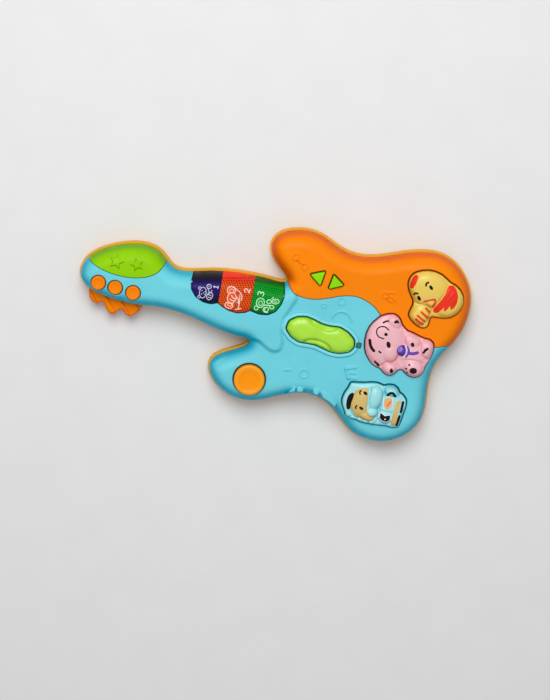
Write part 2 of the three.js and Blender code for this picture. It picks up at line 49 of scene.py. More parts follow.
# Heights above the floor, from the CAD where it has them, and other measures.
JOIN_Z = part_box("front_shell")[0].z / MM  # where the two shells meet
FACE_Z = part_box("front_shell")[1].z / MM  # the CAD's flat face
EDGE_Z = 15.5  # top of the front's upright side, where its round shoulder starts
SHOULDER = 13.5  # width of that round shoulder
BODY_Z = FACE_Z - 1.2  # the body between its raised parts
TONGUE_Z = BODY_Z + 2.8  # the neck and the tongue that it ends in
WALL = 2.2  # thickness of the shells' sides
REVEAL = 1.0  # gap round a button
FINE = 4  # points that soften works with for each one it keeps
CHUNK = 2000  # places measured at a time, to save memory
ROUNDING = (0.03, 0.12, 0.3, 0.6, 1)  # distances in from an edge where its rounding needs points
ROW = 0.87  # of a grid's step, from row to row, for even triangles
CROWD = 0.12  # free points closer than this are thinned
SHARP = math.radians(48)  # edges that turn by more than this stay sharp


# --- Loops and distances ---


def section(node, height):
    """The closed loops in which a height cuts a CAD node, anticlockwise round material, longest first."""
    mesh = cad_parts[node].data
    mesh.calc_loop_triangles()
    corners = np.array([v.co for v in mesh.vertices]) / MM
    triangles = corners[np.array([t.vertices for t in mesh.loop_triangles])]
    following = {}
    for triangle in triangles[(triangles[:, :, 2].min(1) < height) & (triangles[:, :, 2].max(1) > height)]:
        ends = []
        for a, b in zip(triangle, np.roll(triangle, -1, 0)):
            if (a[2] < height) != (b[2] < height):
                a, b = (a, b) if a[2] < b[2] else (b, a)
                ends.append(a + (b - a) * (height - a[2]) / (b[2] - a[2]))
        normal = np.cross(triangle[1] - triangle[0], triangle[2] - triangle[0])
        start, stop = ends
        if normal[0] * (stop - start)[1] - normal[1] * (stop - start)[0] < 0:
            start, stop = stop, start
        following[tuple(np.round(start[:2], 2))] = tuple(np.round(stop[:2], 2))
    loops = []
    while following:
        first, here = following.popitem()
        loop = [first]
        while here != first and here in following:
            loop.append(here)
            here = following.pop(here)
        loops.append(np.array(loop))
    return sorted(loops, key=lambda loop: -np.linalg.norm(loop - np.roll(loop, 1, 0), axis=1).sum())


def area(loop):
    after = np.roll(loop, -1, 0)
    return 0.5 * (loop[:, 0] * after[:, 1] - after[:, 0] * loop[:, 1]).sum()


def away_from(points, place):
    return np.hypot(*(points - place).T)


def left_of(along):
    """Unit vectors on the left of a line's directions, square to them."""
    return np.stack([-along[:, 1], along[:, 0]], 1) / np.linalg.norm(along, axis=1, keepdims=True)


def rectangle(low, high):
    """The corners of a rectangle, anticlockwise from its lowest."""
    return [low, (high[0], low[1]), high, (low[0], high[1])]


def middle(node):
    """The middle of a CAD node's box."""
    low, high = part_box(node)
    return (low + high) / 2 / MM


def soften(loop, step=1.0, blur=1.2):
    """The same loop with even spacing, its corners rounded over about the length of the blur."""
    loop = np.asarray(loop, float)
    if area(loop) < 0:
        loop = loop[::-1]
    closed = np.vstack([loop, loop[:1]])
    along = np.concatenate([[0], np.cumsum(np.linalg.norm(np.diff(closed, axis=0), axis=1))])
    count = max(12, int(along[-1] / (step / FINE)))
    even = np.linspace(0, along[-1], count, endpoint=False)
    fine = np.stack([np.interp(even, along, closed[:, i]) for i in (0, 1)], 1)
    wave = np.fft.fftfreq(count, along[-1] / count)
    keep = np.exp(-2 * (math.pi * blur * wave) ** 2)
    smooth = np.fft.ifft(np.fft.fft(fine, axis=0) * keep[:, None], axis=0).real
    return smooth[::FINE] if count >= 12 * FINE else smooth


def curve(points, step=1.0):
    """A smooth open line through points."""
    points = np.asarray(points, float)
    padded = np.vstack([2 * points[0] - points[1], points, 2 * points[-1] - points[-2]])
    line = []
    for a, b, c, d in zip(padded, padded[1:], padded[2:], padded[3:]):
        pieces = max(2, int(np.linalg.norm(c - b) / step))
        for t in np.linspace(0, 1, pieces, endpoint=False):
            line.append(0.5 * (2 * b + (c - a) * t + (2 * a - 5 * b + 4 * c - d) * t**2
                               + (3 * b - a - 3 * c + d) * t**3))
    return np.vstack([line, points[-1:]])


def ring(loop, inwards):
    """A loop moved inwards along its own normals, or outwards by a negative distance."""
    return loop + left_of(np.roll(loop, -1, 0) - np.roll(loop, 1, 0)) * inwards


def nested(loop, *inwards):
    return [ring(loop, d) for d in inwards]


def seam_side(line, offset):
    """An open line moved sideways."""
    return line + left_of(np.gradient(line, axis=0)) * offset


def circle(x, y, radius, count=48):
    turn = np.linspace(0, 2 * math.pi, count, endpoint=False)
    return np.stack([x + radius * np.cos(turn), y + radius * np.sin(turn)], 1)


def stroke(points, width):
    """The outline of a drawn line with round ends."""
    line = curve(points, 0.5)
    along = np.gradient(line, axis=0)
    left = left_of(along) * width / 2
    tip = math.atan2(along[-1, 1], along[-1, 0])
    tail = math.atan2(along[0, 1], along[0, 0])
    turn = np.linspace(-math.pi / 2, math.pi / 2, 6)[1:-1]
    end = line[-1] + width / 2 * np.stack([np.cos(tip + turn), np.sin(tip + turn)], 1)
    start = line[0] - width / 2 * np.stack([np.cos(tail + turn), np.sin(tail + turn)], 1)
    return np.vstack([line - left, end, (line + left)[::-1], start])


def inside(points, loop):
    """Which points lie inside a loop."""
    result = np.zeros(len(points), bool)
    boxed = np.flatnonzero(((points > loop.min(0)) & (points < loop.max(0))).all(1))
    x0, y0 = loop.T
    x1, y1 = np.roll(loop, -1, 0).T
    for some in np.array_split(boxed, len(boxed) // CHUNK + 1):
        x, y = points[some, 0][:, None], points[some, 1][:, None]
        across = ((y0 > y) != (y1 > y)) & (x < x0 + (x1 - x0) * (y - y0) / np.where(y1 == y0, 1, y1 - y0))
        result[some] = across.sum(1) % 2 == 1
    return result


def distance(points, line, closed=True):
    """Unsigned distance to a loop or, if not closed, to an open line."""
    start = line if closed else line[:-1]
    step = (np.roll(line, -1, 0) if closed else line[1:]) - start
    length = np.maximum((step**2).sum(1), 1e-12)
    nearest = np.empty(len(points))
    for some in np.array_split(np.arange(len(points)), len(points) // CHUNK + 1):
        away = points[some][:, None, :] - start
        share = np.clip((away * step).sum(2) / length, 0, 1)
        nearest[some] = np.sqrt(((away - share[..., None] * step) ** 2).sum(2).min(1))
    return nearest


def within(loop, holes=()):
    """A test of which places lie inside a loop and outside its holes."""
    def keep(places):
        belongs = inside(places, loop)
        for hole in holes:
            belongs &= ~inside(places, hole)
        return belongs
    return keep


def depth(points, loop):
    """Distance in from a loop's edge: positive inside it, negative outside."""
    return distance(points, loop) * np.where(inside(points, loop), 1, -1)


def near(points, loop, margin, value):
    """value(depth) for the points within a margin of the loop's box, and zero for the others."""
    result = np.zeros(len(points))
    close = ((points > loop.min(0) - margin) & (points < loop.max(0) + margin)).all(1)
    if close.any():
        result[close] = value(depth(points[close], loop))
    return result


def rise(d, low, high):
    """0 below low, 1 above high and a smooth step between."""
    t = np.clip((d - low) / (high - low), 0, 1)
    return t * t * (3 - 2 * t)


def quarter(d, radius):
    """A quarter-circle shoulder: 0 at the edge, 1 from the radius inwards."""
    return np.sqrt(1 - (1 - np.clip(d / radius, 0, 1)) ** 2)


def bell(d, width):
    """1 at zero, falling smoothly away on both sides over about the width."""
    return np.exp(-((d / width) ** 2))


def worn_edge(d, radius):
    """How far a rounded edge of that radius lies below the surface, at a distance in from the edge."""
    return radius * (1 - quarter(d, radius))


# --- Pieces ---


def level(height):
    """A flat field at a height."""
    return lambda places: np.full(len(places), height)


def grid(loop, step, margin=0.0):
    """Evenly staggered points inside a loop."""
    low, high = loop.min(0), loop.max(0)
    rows = np.arange(low[1], high[1], step * ROW)
    columns = np.arange(low[0], high[0], step)
    points = np.array([[x + 0.5 * step * (i % 2), y] for i, y in enumerate(rows) for x in columns])
    points = points[inside(points, loop)]
    if margin:
        points = points[distance(points, loop) > margin]
    return points


def thinned(loops, points):
    """The free points that neither crowd each other nor sit on a loop."""
    cells, kept = set(), []
    for loop in loops:
        for x, y in loop:
            cells.add((round(x / CROWD), round(y / CROWD)))
    for x, y in points:
        cell = (round(x / CROWD), round(y / CROWD))
        if cell not in cells:
            cells.add(cell)
            kept.append((x, y))
    return kept


def field_piece(name, body, material_slot, loops, keep, points, top, bottom, materials, paint=()):
    """A closed solid between two height fields over a flat region, with painted patches on its top.

    loops are the region's edges, keep says which places belong to it, points are its free points, and
    paint lists (loop, number of its material): a later patch covers an earlier one.
    """
    fixed = [*loops, *[loop for loop, _ in paint]]
    flat, edges = [], []
    for loop in fixed:
        first, count = len(flat), len(loop)
        flat.extend(map(tuple, loop))
        edges.extend((first + i, first + (i + 1) % count) for i in range(count))
    flat.extend(thinned(fixed, points))
    places, _, faces, *_ = delaunay_2d_cdt([Vector(p) for p in flat], edges, [], 0, 1e-5, False)
    places = np.array([tuple(p) for p in places])
    faces = np.array([f for f in faces if len(f) == 3])
    centres = places[faces].mean(1)
    belongs = keep(centres)
    faces, centres = faces[belongs], centres[belongs]
    used, faces = np.unique(faces, return_inverse=True)
    faces = faces.reshape(-1, 3)
    places = places[used]
    one, two, three = places[faces].transpose(1, 0, 2)
    turn = (two - one)[:, 0] * (three - one)[:, 1] - (two - one)[:, 1] * (three - one)[:, 0]
    faces[turn < 0] = faces[turn < 0][:, ::-1]
    sides = np.concatenate([faces[:, [0, 1]], faces[:, [1, 2]], faces[:, [2, 0]]])
    reverse = {(b, a) for a, b in sides.tolist()}
    rim = [(a, b) for a, b in sides.tolist() if (a, b) not in reverse]
    count = len(places)
    high, low = top(places), bottom(places)
    vertices = np.vstack([np.column_stack([places, high]), np.column_stack([places, low])]) * MM
    walls = [(a, a + count, b + count, b) for a, b in rim]
    mesh = bpy.data.meshes.new(name)
    mesh.from_pydata(vertices.tolist(), [], [*faces.tolist(), *(faces[:, ::-1] + count).tolist(), *walls])
    patch = np.zeros(len(mesh.polygons), np.int32)
    for loop, number in paint:
        patch[: len(faces)][inside(centres, loop)] = number
    return finished(name, mesh, body, material_slot, materials, patch)


def add_object(name, data):
    added = bpy.data.objects.new(name, data)
    bpy.context.scene.collection.objects.link(added)
    return added


def finished(name, mesh, body, material_slot, materials, patch):
    """The mesh as a named piece that rides on a CAD body."""
    for material in materials:
        mesh.materials.append(material)
    mesh.polygons.foreach_set("material_index", patch)
    mesh.validate()
    mesh.shade_smooth()
    mesh.set_sharp_from_angle(angle=SHARP)
    piece = add_object(name, mesh)
    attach(piece, body)
    return piece


# --- Materials ---


def srgb(red, green, blue):
    """Linear colour of a colour given in the usual 0 to 255 numbers."""
    def linear(c):
        c /= 255
        return c / 12.92 if c < 0.04045 else ((c + 0.055) / 1.055) ** 2.4
    return (*(linear(c) for c in (red, green, blue)), 1)


def set_sockets(node, values):
    for socket, value in values.items():
        node.inputs[socket].default_value = value


def add_node(nodes, kind, sockets, **settings):
    """A new shader node with its settings and its sockets' values."""
    node = nodes.new(f"ShaderNode{kind}")
    for name, value in settings.items():
        setattr(node, name, value)
    set_sockets(node, sockets)
    return node


def dot_product(material, source, direction):
    """The dot product of the surface's Normal, or of its place as Object, with a direction."""
    nodes, links = material.node_tree.nodes, material.node_tree.links
    dot = add_node(nodes, "VectorMath", {1: direction}, operation="DOT_PRODUCT")
    place = next(node for node in nodes if node.type == "TEX_COORD")
    links.new(place.outputs[source], dot.inputs[0])
    return dot.outputs["Value"]


def blend_in(material, value, colour, start, stop):
    """Blends a colour into a material's own, from none where value is start to all of it at stop."""
    nodes, links = material.node_tree.nodes, material.node_tree.links
    base = nodes["Principled BSDF"].inputs["Base Color"]
    ends = {"From Min": start, "From Max": stop}
    share = add_node(nodes, "MapRange", ends, interpolation_type="SMOOTHSTEP")
    links.new(value, share.inputs["Value"])
    mix = add_node(nodes, "Mix", {"B": srgb(*colour)}, data_type="RGBA")
    links.new(share.outputs["Result"], mix.inputs["Factor"])
    links.new(base.links[0].from_socket, mix.inputs["A"])
    links.new(mix.outputs["Result"], base)


def moulded(name, colour, roughness=0.32, grain=0.05, tint=0.03, see_through=0.0, metallic=0.0, deep=None,
            shine=0.3):
    """Moulded plastic: slow drifts of colour and gloss, and the fine uneven skin of a moulding.

    Colours are in the usual 0 to 255 numbers. deep is a darker colour painted on as shade where the skin
    turns down towards the sides, first on the side away from the orange horn, which catches less light.
    """
    material = bpy.data.materials.new(name)
    material.use_nodes = True
    nodes, links = material.node_tree.nodes, material.node_tree.links
    shader = nodes["Principled BSDF"]
    set_sockets(shader, {"Metallic": metallic, "IOR": 1.5, "Specular IOR Level": shine})
    if see_through:
        set_sockets(shader, {"Subsurface Weight": see_through, "Subsurface Scale": 0.004,
                             "Coat Weight": 0.35, "Coat Roughness": 0.3})
    place = nodes.new("ShaderNodeTexCoord")

    def noise(size, detail):
        node = add_node(nodes, "TexNoise", {"Scale": size, "Detail": detail})
        links.new(place.outputs["Object"], node.inputs["Vector"])
        return node

    def spread(node, low, high):
        ends = {"From Min": 0.35, "From Max": 0.65, "To Min": low, "To Max": high}
        span = add_node(nodes, "MapRange", ends)
        links.new(node.outputs["Fac"], span.inputs["Value"])
        return span

    drift = noise(26, 3)
    own = srgb(*colour)[:3]
    ends = {"A": [c * (1 - tint) for c in own] + [1], "B": [min(1, c * (1 + tint)) for c in own] + [1]}
    mix = add_node(nodes, "Mix", ends, data_type="RGBA")
    links.new(spread(drift, 0, 1).outputs["Result"], mix.inputs["Factor"])
    links.new(mix.outputs["Result"], shader.inputs["Base Color"])
    # Painted shade: the deep colour darkens the skin as its normal tilts away from upright, most on the -y
    # side.
    if deep:
        blend_in(material, dot_product(material, "Normal", (0, 0.25, 0.97)), deep, 0.93, 0.4)
    gloss = spread(noise(140, 4), roughness * 0.85, roughness * 1.2)
    links.new(gloss.outputs["Result"], shader.inputs["Roughness"])
    bump = add_node(nodes, "Bump", {"Strength": grain, "Distance": 0.0004})
    links.new(noise(420, 3).outputs["Fac"], bump.inputs["Height"])
    links.new(bump.outputs["Normal"], shader.inputs["Normal"])
    return material


# The deep colours given to these plastics are painted shade on their shoulders and sides.
BLUE = moulded("blue_plastic", (108, 206, 220), 0.44, deep=(0, 174, 204), shine=0.18)
# Painted highlight: a lighter blue laid on the raised frame round the strum button.
BLUE_FRAME_HIGHLIGHT = moulded("blue_frame_painted_highlight", (128, 217, 231), 0.4, deep=(50, 182, 206), shine=0.2)
ORANGE = moulded("orange_plastic", (248, 132, 0), 0.44, deep=(228, 98, 0), shine=0.1)
LIME = moulded("lime_plastic", (142, 204, 0), 0.44, deep=(112, 172, 0), shine=0.1)
YELLOW = moulded("amber_plastic", (236, 170, 34), 0.4, shine=0.2)
CLEAR_LIME = moulded("clear_lime_plastic", (172, 226, 54), 0.34, 0.02, see_through=0.25,
                     deep=(124, 198, 6), shine=0.35)
BRIGHT_LIME = moulded("bright_lime_plastic", (138, 218, 4), 0.35, shine=0.15)
AMBER = moulded("button_amber", (250, 160, 14), 0.32, deep=(226, 120, 6))
BUTTON = moulded("button_orange", (254, 148, 0), 0.36, shine=0.15)
STEEL = moulded("plated_steel", (196, 198, 202), 0.28, 0.05, 0.04, metallic=1.0)
BLACK_INK = moulded("black_ink", (22, 19, 18), 0.5, shine=0.1)

# --- Front shells ---

OUTLINE = ring(soften(section("rear_shell", JOIN_Z - 2)[0], 1.1, 1.4), 0.6)

# Seams of the orange panel and the lime cover, and the plan of the three keys, as in the CAD.
PANEL_SEAM = curve([
    (5.5, 36), (16, 27), (26.5, 24.8), (38, 26.3), (49, 30.5), (60, 35.4), (71, 38), (81, 37), (91.5, 32.8),
    (100, 26), (112, 17), (126, 11.5), (140, 9.5), (154, 10.8), (172, 16)])
PANEL_OUTSIDE = [(195, 24), (195, 110), (-30, 110), (-30, 50)]
COVER_SEAM = curve([
    (-180, 10), (-169.5, 6), (-158, 2.8), (-147, 1.4), (-136, 1.6), (-125.5, 3.6), (-116, 7.4), (-109, 13),
    (-105, 19.5), (-102.5, 26)])
COVER_OUTSIDE = [(-98, 45), (-195, 45), (-195, 14)]
KEYS = [
    [(-76.7, 40), (-49.2, 40), (-51, 27.7), (-48.8, 0.8), (-55, -2), (-62, -1.9), (-69.6, 0.9), (-74.8, 6.6),
     (-76.8, 14)],
    [(-49.2, 40), (-20.2, 40), (-21.4, 31.6), (-18.5, 1.4), (-23, -1.8), (-29.6, -3.9), (-37, -3.7),
     (-43.4, -1.8), (-48.8, 0.8), (-51, 27.7)],
    [(-20.2, 40), (1, 40), (6.2, 29.5), (8, 22), (7.2, 13.8), (3.8, 6), (-2, 1.6), (-9.6, 0.2), (-18.5, 1.4),
     (-21.4, 31.6)],
]
KEYS = [soften(key, 0.8, 0.7) for key in KEYS]

BUTTON_LOOPS = {
    name: soften(section(f"{name}_button", 33.7)[0], 0.8, blur)
    for name, blur in [("strum", 1.5), ("mode", 0.6), ("volume_down", 0.5), ("volume_up", 0.5),
                       ("chick", 0.9), ("puppy", 0.9), ("walrus", 0.9)]
}
POSTS = [(loop.min(0) + loop.max(0)) / 2 for loop in section("tuner_rack", 33)]
OPENINGS = [ring(loop, -REVEAL) for loop in BUTTON_LOOPS.values()]
OPENINGS += [circle(x, y, 7.2) for x, y in POSTS]
KEY_OPENINGS = [ring(key, -0.8) for key in KEYS]
status_low, status_high = (np.array(corner)[:2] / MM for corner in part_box("status_lens"))
STATUS = soften(rectangle(status_low, status_high), 0.4, 0.25)
OPENINGS.append(ring(STATUS, -0.25))

# Raised parts of the front: the neck's tongue, the frame round the strum button and the embossed shapes.
TONGUE = soften([
    (-10.1, -25.3), (-2.3, -24.8), (5.1, -29.2), (10.4, -31), (14.9, -30.2), (18.1, -27.4), (18, -18.5),
    (14.9, -13.8), (13.3, 1.1), (15.3, 7.2), (17.7, 15.2), (20.5, 21.6), (18, 30), (8, 36), (-40, 60),
    (-200, 60), (-200, -60), (-40, -60), (-20, -36)], 1.5, 1.5)


def star(x, y, radius, turn):
    angles = np.radians(turn) + np.arange(10) * math.pi / 5
    radii = np.where(np.arange(10) % 2 == 0, radius, radius * 0.45)
    return np.stack([x + radii * np.cos(angles), y + radii * np.sin(angles)], 1)


STARS = [star(-147.6, 13.4, 7.6, 88), star(-128.8, 15.7, 6.9, 47)]
RINGS = [(45.8, 22.6, 2), (60.6, 30.7, 3.2), (45, -43.8, 4), (9.4, 59.6, 2.9), (19.3, 53.1, 2.7),
         (97.6, 46.4, 2.7)]
RIDGES = [  # half width and points of each raised line
    (0.7, circle(65.1, 11.9, 9.6)[2:24]),
    (1.2, [(89.9, -25.6), (85.2, -27.2), (80.7, -29)]),
    (1.2, [(80.7, -29), (83.4, -33.5), (85.6, -37.2)]),
    (1.2, [(85.6, -37.2), (89.3, -36.5), (93.3, -35.7)]),
    (0.6, [(86.8, -32), (90.8, -31.6)]),
    (0.6, [(26.6, -45.3), (31.5, -43.7)]),
    (1, [(11.2, 57.8), (14.2, 56.6), (17, 55.6)]),
    (0.7, [(99.8, 48.4), (102, 50), (104.8, 50.6)]),
    (0.7, [(99.6, 44.6), (102.2, 42.6), (105.4, 41.8)]),
    (0.7, [(101.4, 46.6), (105.4, 45.2), (109, 43.6)]),
]
WEDGE = soften([(33.4, -69.5), (36.4, -62.9), (38.6, -58.4), (41.5, -58.6), (41.4, -62.4), (37.2, -66.5)],
               0.6, 0.5)
# Level pads that stand out of the waist's round shoulder: place, half length, half width and turn.
PADS = [(45.4, -60, 3.4, 2.6, 10), (60.5, -57.6, 3.4, 3.3, 0), (72.6, -61, 9.4, 3.9, -34),
        (78.2, -65.4, 3.6, 3.3, 0)]
# How far the raised parts stand out. A pad stands out by this at most.
FRAME_RISE, STAR_RISE, RING_RISE, RIDGE_RISE, PAD_RISE = 1.5, 1.3, 0.6, 0.7, 4.2
TONGUE_SLOPE = 2.8  # half the width of the slope along the tongue's edge


def reach(points, x, y, long, short, turn):
    """How far points lie from an ellipse's middle: 1 on its edge."""
    c, s = math.cos(math.radians(turn)), math.sin(math.radians(turn))
    dx, dy = points[:, 0] - x, points[:, 1] - y
    return np.hypot((c * dx + s * dy) / long, (c * dy - s * dx) / short)


def front_height(points):
    """Height of the front's outer skin."""
    z = EDGE_Z + (BODY_Z - EDGE_Z) * quarter(depth(points, OUTLINE), SHOULDER)
    z += near(points, TONGUE, 4, lambda d: (TONGUE_Z - BODY_Z) * rise(d, -TONGUE_SLOPE, TONGUE_SLOPE))
    z += near(points, BUTTON_LOOPS["strum"], 8, lambda d: FRAME_RISE * rise(d, -4.9, -3.7))
    for loop in STARS:
        z += near(points, loop, 1, lambda d: STAR_RISE * rise(d, -0.4, 0.9))
    for x, y, radius in RINGS:
        away = away_from(points, (x, y)) - radius
        z += RING_RISE * bell(away, 0.7)
    for half, line in RIDGES:
        line = curve(line, 0.5)
        close = ((points > line.min(0) - 3) & (points < line.max(0) + 3)).all(1)
        sideways = distance(points[close], line, closed=False)
        z[close] += RIDGE_RISE * rise(-sideways, -half - 0.5, 0.3 - half)
    raised = np.clip(BODY_Z - 0.4, z, z + PAD_RISE)
    share = near(points, WEDGE, 1, lambda d: rise(d, -0.5, 0.6))
    for pad in PADS:
        share = np.maximum(share, rise(-reach(points, *pad), -1.3, -0.72))
    return z + (raised - z + 0.7) * share


def shell_piece(name, slot, materials, region, seams, node, paint=()):
    """One moulding of the front: its share of the skin, a rim down to the join and rounded openings.

    seams lists the (line, loop) of each seam that bounds it.
    """
    holes = [loop for loop in [*OPENINGS, *KEY_OPENINGS] if region(loop).any()]
    solid = within(OUTLINE, holes)

    def top(places):
        z = front_height(places)
        for hole in holes:
            z -= near(places, hole, 1.5, lambda d: worn_edge(np.maximum(-d, 0), 0.9))
        for line, _ in seams:
            z -= worn_edge(distance(places, line, closed=False), 0.55)
        return z

    def bottom(places):
        d = distance(places, OUTLINE)
        skin = EDGE_Z + (BODY_Z - WALL - EDGE_Z) * quarter(d - WALL, SHOULDER - 1)
        return np.where(d < WALL - 0.1, JOIN_Z + 0.15, skin - 1.2)

    rings = nested(OUTLINE, *ROUNDING, 1.5, 2.05, 2.3, 3.2, 4.4, 5.8, 7.4, 9.2, 11.2, 13.3)
    for hole in holes:
        rings += nested(hole, -0.08, -0.28, -0.55, -0.9, -1.6)
    for line, _ in seams:
        rings += [seam_side(line, side * d) for side in (-1, 1) for d in (0.12, 0.3, 0.55, 1.1)]
    rings.append(grid(OUTLINE, 2.2, SHOULDER))
    rings += [grid(circle(*loop.mean(0), 9), 0.45) for loop in STARS]
    rings += [circle(x, y, radius + d, int(10 * radius))
              for x, y, radius in RINGS for d in (-1, -0.6, -0.3, 0, 0.3, 0.6, 1)]
    for half, line in RIDGES:
        line = curve(line, 0.5)
        rings += [seam_side(line, side * (half + d)) for side in (-1, 1) for d in (-0.4, -0.1, 0.2, 0.5)]
    rings += nested(TONGUE, -TONGUE_SLOPE, -2, -1, 0, 1, 2, TONGUE_SLOPE)
    rings += nested(BUTTON_LOOPS["strum"], -2.4, -3.7, -4, -4.3, -4.6, -4.9, -6)
    rings += [grid(circle(x, y, long + 2), 0.55) for x, y, long, *_ in PADS]
    rings += nested(WEDGE, -0.5, -0.2, 0.1, 0.4, 0.7)
    points = np.vstack(rings)
    points = points[inside(points, OUTLINE) & region(points)]
    loops = [OUTLINE, *holes, *[loop for _, loop in seams]]
    piece = field_piece(name, "case", slot, loops, lambda p: solid(p) & region(p), points, top, bottom,
                        materials, paint)
    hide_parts(node)


SEAM_GAP = 0.2  # half the gap at a seam


def seam(line, outside, side):
    """A seam on its own side of the gap, and the loop that it closes round outside the body."""
    moved = seam_side(line, side * SEAM_GAP)
    return moved, np.vstack([moved, outside])


panel, front_at_panel = (seam(PANEL_SEAM, PANEL_OUTSIDE, side) for side in (1, -1))
cover, front_at_cover = (seam(COVER_SEAM, COVER_OUTSIDE, side) for side in (1, -1))
# The front skin's second material is a painted highlight on the strum button's raised frame.
shell_piece("front_skin", "blue_plastic", [BLUE, BLUE_FRAME_HIGHLIGHT],
            lambda p: ~inside(p, front_at_panel[1]) & ~inside(p, front_at_cover[1]),
            [front_at_panel, front_at_cover], "front_shell", [(ring(BUTTON_LOOPS["strum"], -4.1), 1)])
shell_piece("orange_panel", "orange_plastic", [ORANGE], lambda p: inside(p, panel[1]), [panel], "body_panel")
shell_piece("lime_cover", "lime_plastic", [LIME], lambda p: inside(p, cover[1]), [cover], "headstock_cover")

# --- Rear shell ---

BACK_ROUND = 3.2  # radius of the rounding between the back and its sides
FLOOR_T = 2.4  # thickness of the back
REAR_OUTLINE = ring(OUTLINE, -1.7)  # the rear shell stands a little proud of the front
SEAT_Z = 4.7  # depth of each screw's well
DOOR_SEAT_Z = 2.3  # depth of the battery door's well
POCKET_Z = 4.4  # inner skin over that well and over the switch's
BAY_Z = 18  # depth of the battery bay
BAY_TOP_Z = 19.5  # its outer skin, inside the case
REAR_TOP_Z = JOIN_Z - 0.35  # where its sides and screw towers end
SKIN = 1.6  # thickness of the walls round the bay and the door's well
screw_spots = [middle(f"case_screw_{i}") for i in range(1, 10)]
WELLS, SHAFTS, TOWERS = ([circle(spot.x, spot.y, radius, count) for spot in screw_spots]
                         for radius, count in [(3.2, 28), (1.5, 16), (4.8, 28)])


def cad_rectangle(node, margin):
    low, high = (np.array(corner)[:2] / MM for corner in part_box(node))
    low, high = low - margin, high + margin
    return soften(rectangle(low, high), 0.8, 0.5)


DOOR_WELL = cad_rectangle("battery_door", 0.4)
BAY = soften(rectangle((62, -25), (122, 25)), 1, 0.6)
SWITCH_WELL = soften(rectangle((21, -38.5), (39, -29.5)), 0.8, 1.2)
SWITCH_SLOT = soften(rectangle((23.5, -36), (36.5, -32)), 0.8, 0.5)
POCKETS = [ring(DOOR_WELL, -SKIN), ring(SWITCH_WELL, -1.5)]
BAY_WALL = ring(BAY, -SKIN)
SPEAKER = middle("speaker_basket")
GRILLE = []
for across in np.arange(-12, 12.1, 4.8):
    half = math.sqrt(14**2 - across**2)
    x, y = SPEAKER.x, SPEAKER.y + across
    GRILLE.append(soften(rectangle((x - half, y - 1), (x + half, y + 1)), 0.5, 0.5))
door_screw_spot = middle("battery_door_screw")
DOOR_HOLE = circle(door_screw_spot.x, door_screw_spot.y, 1.5, 16)


def steps(places, loops, value, base):
    """base, replaced by a value inside each of the loops."""
    for loop in loops:
        base = np.where(inside(places, loop), value, base)
    return base


def back_of_rear(places):
    """The outer skin of the back, seen from below."""
    z = BACK_ROUND * (1 - quarter(distance(places, REAR_OUTLINE), BACK_ROUND))
    z += near(places, SWITCH_WELL, 1, lambda d: 1.3 * rise(d, -0.3, 0.6))
    z = steps(places, [DOOR_WELL], DOOR_SEAT_Z, z)
    z = steps(places, [BAY], BAY_Z, z)
    z = steps(places, WELLS, SEAT_Z, z)
    for loop in [*WELLS, DOOR_WELL]:
        z += near(places, loop, 1, lambda d: np.where(d < 0, worn_edge(-d, 0.5), 0))
    return z


def inside_of_rear(places):
    """The inner skin of the back, seen from above."""
    d = distance(places, REAR_OUTLINE)
    z = np.where(d < WALL, REAR_TOP_Z, FLOOR_T + BACK_ROUND * (1 - quarter(d - WALL + 0.6, BACK_ROUND)))
    z = steps(places, TOWERS, REAR_TOP_Z, z)
    z = steps(places, POCKETS, POCKET_Z, z)
    return steps(places, [BAY_WALL], BAY_TOP_Z, z)


def rear_shell():
    holes = [*SHAFTS, *GRILLE, SWITCH_SLOT, DOOR_HOLE]
    cliffs = [*WELLS, DOOR_WELL, BAY, *TOWERS, POCKETS[0], BAY_WALL, POCKETS[1]]
    stepped = [edge for loop in cliffs for edge in nested(loop, -0.04, 0.04)]
    points = nested(REAR_OUTLINE, *ROUNDING, 1.5, 2.15, 2.25, 3, 4, 5.4, 7)
    for loop in [*WELLS, DOOR_WELL]:
        points += nested(loop, -0.5, -0.3, -0.15)
    points += nested(SWITCH_WELL, -0.3, 0, 0.3, 0.6)
    points.append(grid(REAR_OUTLINE, 4, 7))
    piece = field_piece("rear_shell_look", "case", "yellow_plastic", [REAR_OUTLINE, *holes, *stepped],
                        within(REAR_OUTLINE, holes), np.vstack(points), inside_of_rear, back_of_rear,
                        [YELLOW])
    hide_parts("rear_shell")


rear_shell()


def battery_door():
    """The lift-off door: worn edges, its screw's hole and a patch of grip ridges at the other end."""
    plan = cad_rectangle("battery_door", 0)
    hole = soften(section("battery_door", 1)[1], 0.5, 0.2)
    ridges = [plan[:, 0].min() + 6 + 2.4 * i for i in range(5)]

    def back(places):
        z = 0.5 + worn_edge(distance(places, plan), 0.45)
        z += near(places, hole, 1, lambda d: worn_edge(-d, 0.4))
        for x in ridges:
            z += 0.5 * bell(places[:, 0] - x, 0.55) * rise(-np.abs(places[:, 1]), -9.5, -8.5)
        return z

    points = [*nested(plan, 0.08, 0.2, 0.45, 1), *nested(hole, -0.1, -0.25, -0.4)]
    points += [np.stack([np.full(41, x + d), np.linspace(-10, 10, 41)], 1) for x in ridges
               for d in (-0.9, -0.5, -0.25, 0, 0.25, 0.5, 0.9)]
    points.append(grid(plan, 3))
    piece = field_piece("battery_door_look", "battery_door", "yellow_plastic", [plan, hole],
                        within(plan, [hole]), np.vstack(points), level(2.1), back, [YELLOW])
    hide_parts("battery_door")


battery_door()


